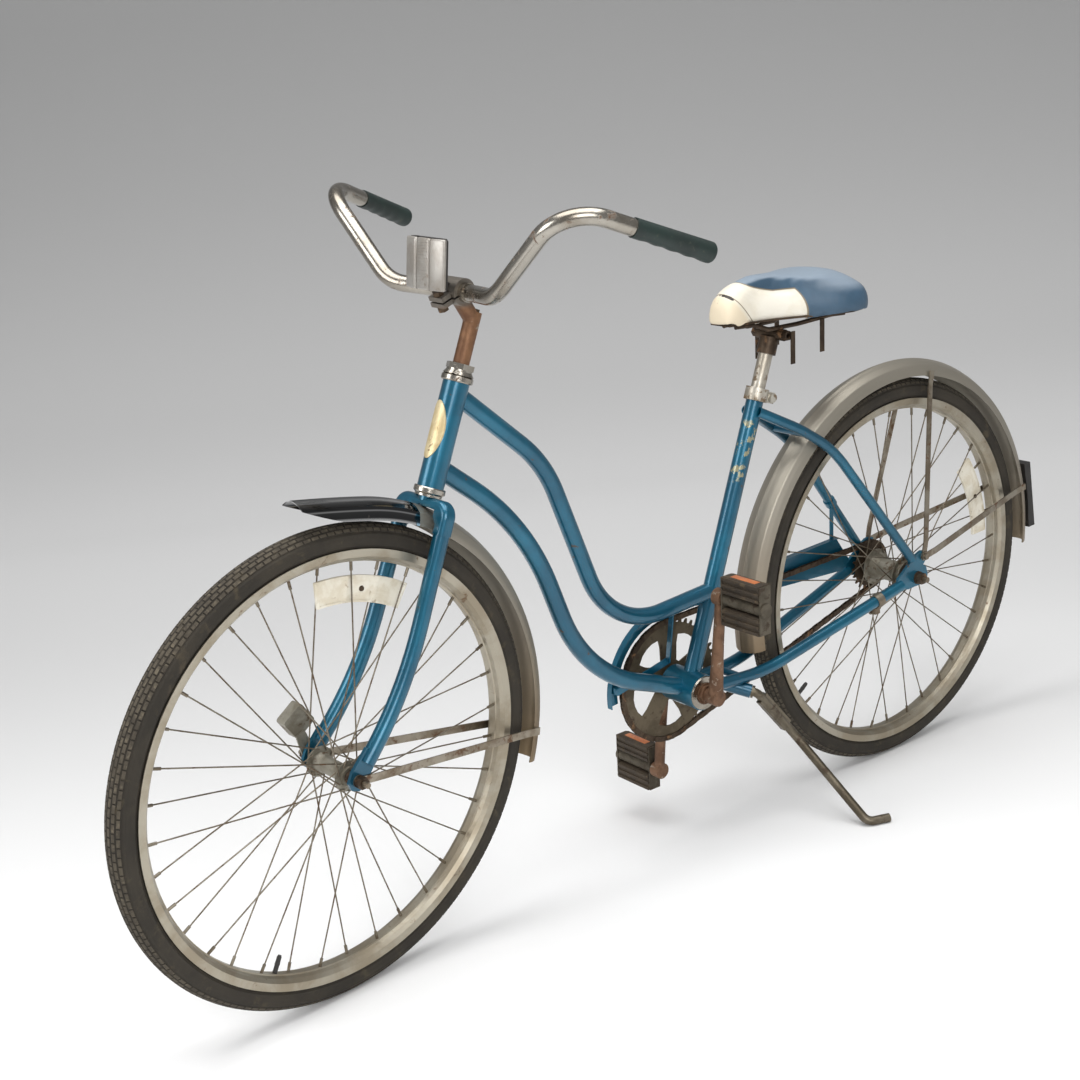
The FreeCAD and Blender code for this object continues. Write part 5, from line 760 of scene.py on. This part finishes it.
def makeSaddleVinyl():
    material, tree, shader, white, where = finish("saddleVinyl", looks["whiteVinyl"])
    bump = shader.inputs["Normal"].links[0].from_node
    relief = bump.inputs["Height"].links[0].from_socket
    seam, capSeam, tear, facing = [addNode(tree, "ShaderNodeAttribute", attribute_name=key).outputs["Fac"]
                                   for key in saddle["layers"]]

    def band(source, low, high):
        return addNode(tree, "ShaderNodeMapRange", {"Value": source, "From Min": low, "From Max": high},
                       interpolation_type="SMOOTHSTEP").outputs["Result"]

    noise = {"Vector": where, "Scale": saddle["crackScale"], "Detail": 3.0, "Distortion": 1.2}
    cracks = addNode(tree, "ShaderNodeTexNoise", noise)
    thin = addNode(tree, "ShaderNodeMath", {0: cracks.outputs["Fac"], 1: 0.5}, operation="SUBTRACT")
    line = addNode(tree, "ShaderNodeMath", {0: thin.outputs[0]}, operation="ABSOLUTE")
    noise = {"Vector": where, "Scale": saddle["crackSpread"], "Detail": 1.0}
    rare = addNode(tree, "ShaderNodeTexNoise", noise)
    shares = {0: band(line.outputs[0], 0.006, 0.0), 1: band(rare.outputs["Fac"], 0.56, 0.62)}
    crackLine = addNode(tree, "ShaderNodeMath", shares, operation="MULTIPLY")
    colour = mixColour(tree, band(capSeam, -0.001, 0.012), white, rgb(*saddle["capTone"]))
    colour = mixColour(tree, crackLine.outputs[0], colour, rgb(*saddle["crackTone"]))
    clouds = {"Vector": where, "Scale": saddle["blueScale"], "Threshold": 0.5, "Softness": 0.12}
    blue = addNode(tree, "ShaderNodeGroup", clouds, node_tree=patchGroup)
    blueTone = mixColour(tree, blue.outputs["Mask"], rgb(*saddle["blue"]), rgb(*saddle["deepBlue"]))
    # painted sheen: the blue is lightened where the vinyl faces up
    paintedTopSheen = addNode(tree, "ShaderNodeMath", {0: band(facing, 0.45, 1.0), 1: 0.6}, operation="MULTIPLY")
    blueTone = mixColour(tree, paintedTopSheen.outputs[0], blueTone, rgb(*saddle["paintedTopSheen"]))
    colour = mixColour(tree, band(seam, 0.0004, -0.0004), colour, blueTone)
    for source in (seam, capSeam):
        depth = addNode(tree, "ShaderNodeMath", {0: source}, operation="ABSOLUTE")
        colour = mixColour(tree, band(depth.outputs[0], 0.0016, 0.0003), colour, rgb(*saddle["seamTone"]))
    noise = {"Vector": where, "Scale": saddle["raggedScale"], "Detail": 2.0}
    ragged = addNode(tree, "ShaderNodeTexNoise", noise)
    shares = {0: ragged.outputs["Fac"], 1: 1.1, 2: tear}
    torn = addNode(tree, "ShaderNodeMath", shares, operation="MULTIPLY_ADD")
    colour = mixColour(tree, band(torn.outputs[0], 1.55, 1.4), colour, rgb(*saddle["tearTone"]))
    tree.links.new(colour, shader.inputs["Base Color"])
    shares = {0: crackLine.outputs[0], 1: -1.5, 2: relief}
    rise = addNode(tree, "ShaderNodeMath", shares, operation="MULTIPLY_ADD")
    tree.links.new(rise.outputs[0], bump.inputs["Height"])
    return material


def inflate(piece):
    bpy.context.view_layer.objects.active = piece
    remesh = piece.modifiers.new("voxels", "REMESH")
    remesh.mode = "VOXEL"
    remesh.voxel_size = saddle["voxel"]
    bpy.ops.object.modifier_apply(modifier=remesh.name)
    rest = [v.co.copy() for v in piece.data.vertices]
    cloth = piece.modifiers.new("cover", "CLOTH")
    cloth.settings.use_pressure = True
    cloth.settings.uniform_pressure_force = saddle["pressure"]
    cloth.settings.effector_weights.gravity = 0
    for step in range(1, saddle["frames"] + 1):
        scene.frame_set(step)
    blown = piece.evaluated_get(bpy.context.evaluated_depsgraph_get())
    moved = [v.co.copy() for v in blown.data.vertices]
    piece.modifiers.remove(cloth)
    scene.frame_set(1)
    for vert, home, there in zip(piece.data.vertices, rest, moved):
        shift = there - home
        vert.co = home + shift * min(1, saddle["cap"] / max(shift.length, 1e-9))


def relax(bm, rounds):
    for k in range(rounds):
        bmesh.ops.smooth_vert(bm, verts=bm.verts, factor=0.5, use_axis_x=True, use_axis_y=True,
                              use_axis_z=True)


def makeSaddle():
    bm = bmesh.new()
    bm.from_mesh(frame["nodes"]["saddle_cushion"].data)
    bmesh.ops.remove_doubles(bm, verts=bm.verts, dist=1e-5)
    low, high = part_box("saddle_cushion")
    core = (low + high) / 2
    shrink = Matrix.Diagonal([saddle["shrink"]] * 3 + [1])
    bm.transform(Matrix.Translation(core) @ shrink @ Matrix.Translation(-core))
    piece = addObject("saddleCover", toMesh(bm, "saddleCover"))
    inflate(piece)
    bm = bmesh.new()
    bm.from_mesh(piece.data)
    floor = saddle["baseZ"]
    bm.transform(bikePlace.inverted())
    relax(bm, 3)
    bmesh.ops.subdivide_edges(bm, edges=bm.edges, cuts=1, use_grid_fill=True, smooth=0.6)
    bm.normal_update()
    for vert in bm.verts:
        for line in (saddleSeam(vert.co), saddleCapSeam(vert.co)):
            vert.co -= vert.normal * saddle["seamDepth"] * math.exp(-(line / saddle["seamWidth"]) ** 2)
        vert.co.z = max(vert.co.z, floor)
    bm.normal_update()
    nearSkirt, farSkirt = saddle["skirt"]
    for vert in bm.verts:  # the skirt hangs past the pan, lower toward the back
        upright = min(1, max(0, (vert.normal.z + 0.8) / 0.4))
        low = max(0, 1 - (vert.co.z - floor) / saddle["rise"]) * upright
        behind = min(1, max(0, (saddle["noseX"] - vert.co.x) / saddle["skirtReach"]))
        vert.co.x += vert.normal.x * saddle["flare"] * low
        vert.co.y += vert.normal.y * saddle["flare"] * low
        vert.co.z -= (nearSkirt + (farSkirt - nearSkirt) * behind) * low
    relax(bm, 2)
    bm.normal_update()
    layers = {key: bm.verts.layers.float.new(key) for key in saddle["layers"]}
    for vert in bm.verts:
        vert[layers["seam"]] = saddleSeam(vert.co)
        vert[layers["capSeam"]] = saddleCapSeam(vert.co)
        offset = vert.co - Vector(saddle["tear"])
        across, along = (offset.x - offset.z) * 0.7, (offset.x + offset.z) * 0.7
        shares = [size / limit for size, limit in zip((across, offset.y, along), saddle["tearSize"])]
        vert[layers["tear"]] = Vector(shares).length
        vert[layers["facing"]] = vert.normal.z
    bm.transform(bikePlace)
    bm.to_mesh(piece.data)
    bm.free()
    piece.data.materials.clear()
    piece.data.materials.append(makeSaddleVinyl())
    piece.data.shade_smooth()
    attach(piece, "seat")
    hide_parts("saddle_cushion")


makeSaddle()
print("saddle made")

# studio: floor and backdrop in one sweep with painted falloff and a painted glow, lights, camera
studio = {"near": 3.5, "far": 3.0, "bend": 1.2, "height": 5.0, "half": 9.0,
          "depth": (-0.6, 5.6), "climb": 0.8, "paintedFalloff": (0.92, 0.28), "farPaintedGlow": 0.10,
          "glow": ((0.2, 0.0), (0.58, 0.25), (0.75, 0.17)), "sky": 0.8, "skyStrength": 0.45}
viewPoint = {"place": (2.094456, 1.733536, 0.894206), "right": (-0.779486, 0.624252, -0.052071),
             "forward": (-0.586143, -0.756168, -0.290939), "focal": 1639.389, "image": 1080}


def makeSweep():
    bm = bmesh.new()
    verts = chain2d(bm, [(-studio["near"], 0), (studio["far"], 0)])[0]
    bmesh.ops.spin(bm, geom=[verts[-1]], axis=(0, 0, 1), cent=(studio["far"], studio["bend"], 0),
                   dvec=(0, 0, 0), steps=24, angle=math.pi / 2)
    top = max(bm.verts, key=lambda v: v.co.y)
    wall = bm.verts.new((top.co.x, studio["height"], 0))
    bm.edges.new((top, wall))
    made = bmesh.ops.extrude_edge_only(bm, edges=bm.edges[:])["geom"]
    new = [g for g in made if isinstance(g, bmesh.types.BMVert)]
    bmesh.ops.translate(bm, vec=(0, 0, 2 * studio["half"]), verts=new)
    bmesh.ops.translate(bm, vec=(0, 0, -studio["half"]), verts=bm.verts)
    bmesh.ops.recalc_face_normals(bm, faces=bm.faces)
    forward = bikePlace.to_3x3() @ Vector(viewPoint["forward"])
    away = Vector((forward.x, forward.y, 0)).normalized()
    turn = Matrix((away, Vector((0, 0, 1)), away.cross(Vector((0, 0, 1))))).transposed().to_4x4()
    bm.transform(turn)
    mesh = toMesh(bm, "studioSweep")
    mesh.shade_smooth()
    sweep = addObject("studioSweep", mesh)
    material = bpy.data.materials.new("studioPaperWithPaintedLight")
    material.use_nodes = True
    tree = material.node_tree
    shader = tree.nodes["Principled BSDF"]
    where = tree.nodes.new("ShaderNodeTexCoord").outputs["Object"]
    slope = {0: where, 1: (away.x, away.y, studio["climb"])}
    depth = addNode(tree, "ShaderNodeVectorMath", slope, operation="DOT_PRODUCT")
    low, high = studio["depth"]
    limits = {"Value": depth.outputs["Value"], "From Min": low, "From Max": high}
    share = addNode(tree, "ShaderNodeMapRange", limits)
    # painted shade: the paper darkens with distance and height
    ramp = addNode(tree, "ShaderNodeValToRGB", {"Fac": share.outputs["Result"]})
    for stop, level in zip(ramp.color_ramp.elements, studio["paintedFalloff"]):
        stop.color = grey(level)
    tree.links.new(ramp.outputs["Color"], shader.inputs["Base Color"])
    # painted light: emission brightens the far floor, the bend and the backdrop
    glow = addNode(tree, "ShaderNodeValToRGB", {"Fac": share.outputs["Result"]})
    glow.color_ramp.interpolation = "EASE"
    glow.color_ramp.elements[1].color = grey(studio["farPaintedGlow"])
    for place, level in studio["glow"]:
        glow.color_ramp.elements.new(place).color = grey(level)
    tree.links.new(glow.outputs["Color"], shader.inputs["Emission Color"])
    shader.inputs["Emission Strength"].default_value = 1
    shader.inputs["Roughness"].default_value = 0.9
    shader.inputs["Specular IOR Level"].default_value = 0.1
    mesh.materials.append(material)


makeSweep()


def makeLamp(name, place, aim, size, power):
    light = bpy.data.lights.new(name, "AREA")
    light.shape = "RECTANGLE"
    light.size, light.size_y = size
    light.energy = power
    box = addObject(name, light)
    box.location = place
    box.rotation_euler = (Vector(aim) - Vector(place)).to_track_quat("-Z", "Y").to_euler()


makeLamp("topSoftbox", (0.3, 0.4, 3.2), (0, 0, 0.4), (3.0, 2.4), 90)
makeLamp("leftSoftbox", (1.6, 3.0, 1.9), (0, 0, 0.5), (2.0, 1.6), 55)
makeLamp("frontSoftbox", (3.4, -0.6, 1.8), (0.2, 0, 0.5), (1.4, 1.8), 40)

world = bpy.data.worlds.new("studioWorld")
scene.world = world
world.use_nodes = True
sky = world.node_tree.nodes["Background"]
sky.inputs["Color"].default_value = grey(studio["sky"])
sky.inputs["Strength"].default_value = studio["skyStrength"]

camera = bpy.data.cameras.new("camera")
camera.sensor_width = 36
camera.lens = viewPoint["focal"] / viewPoint["image"] * camera.sensor_width
camera.clip_end = 60
cameraObject = addObject("camera", camera)
back = -(bikePlace.to_3x3() @ Vector(viewPoint["forward"])).normalized()
right = bikePlace.to_3x3() @ Vector(viewPoint["right"])
right = (right - back * right.dot(back)).normalized()
axes = Matrix((right, back.cross(right), back)).transposed().to_4x4()
cameraObject.matrix_world = Matrix.Translation(bikePlace @ Vector(viewPoint["place"])) @ axes
scene.camera = cameraObject
scene.view_settings.view_transform = "Standard"
print("studio made")
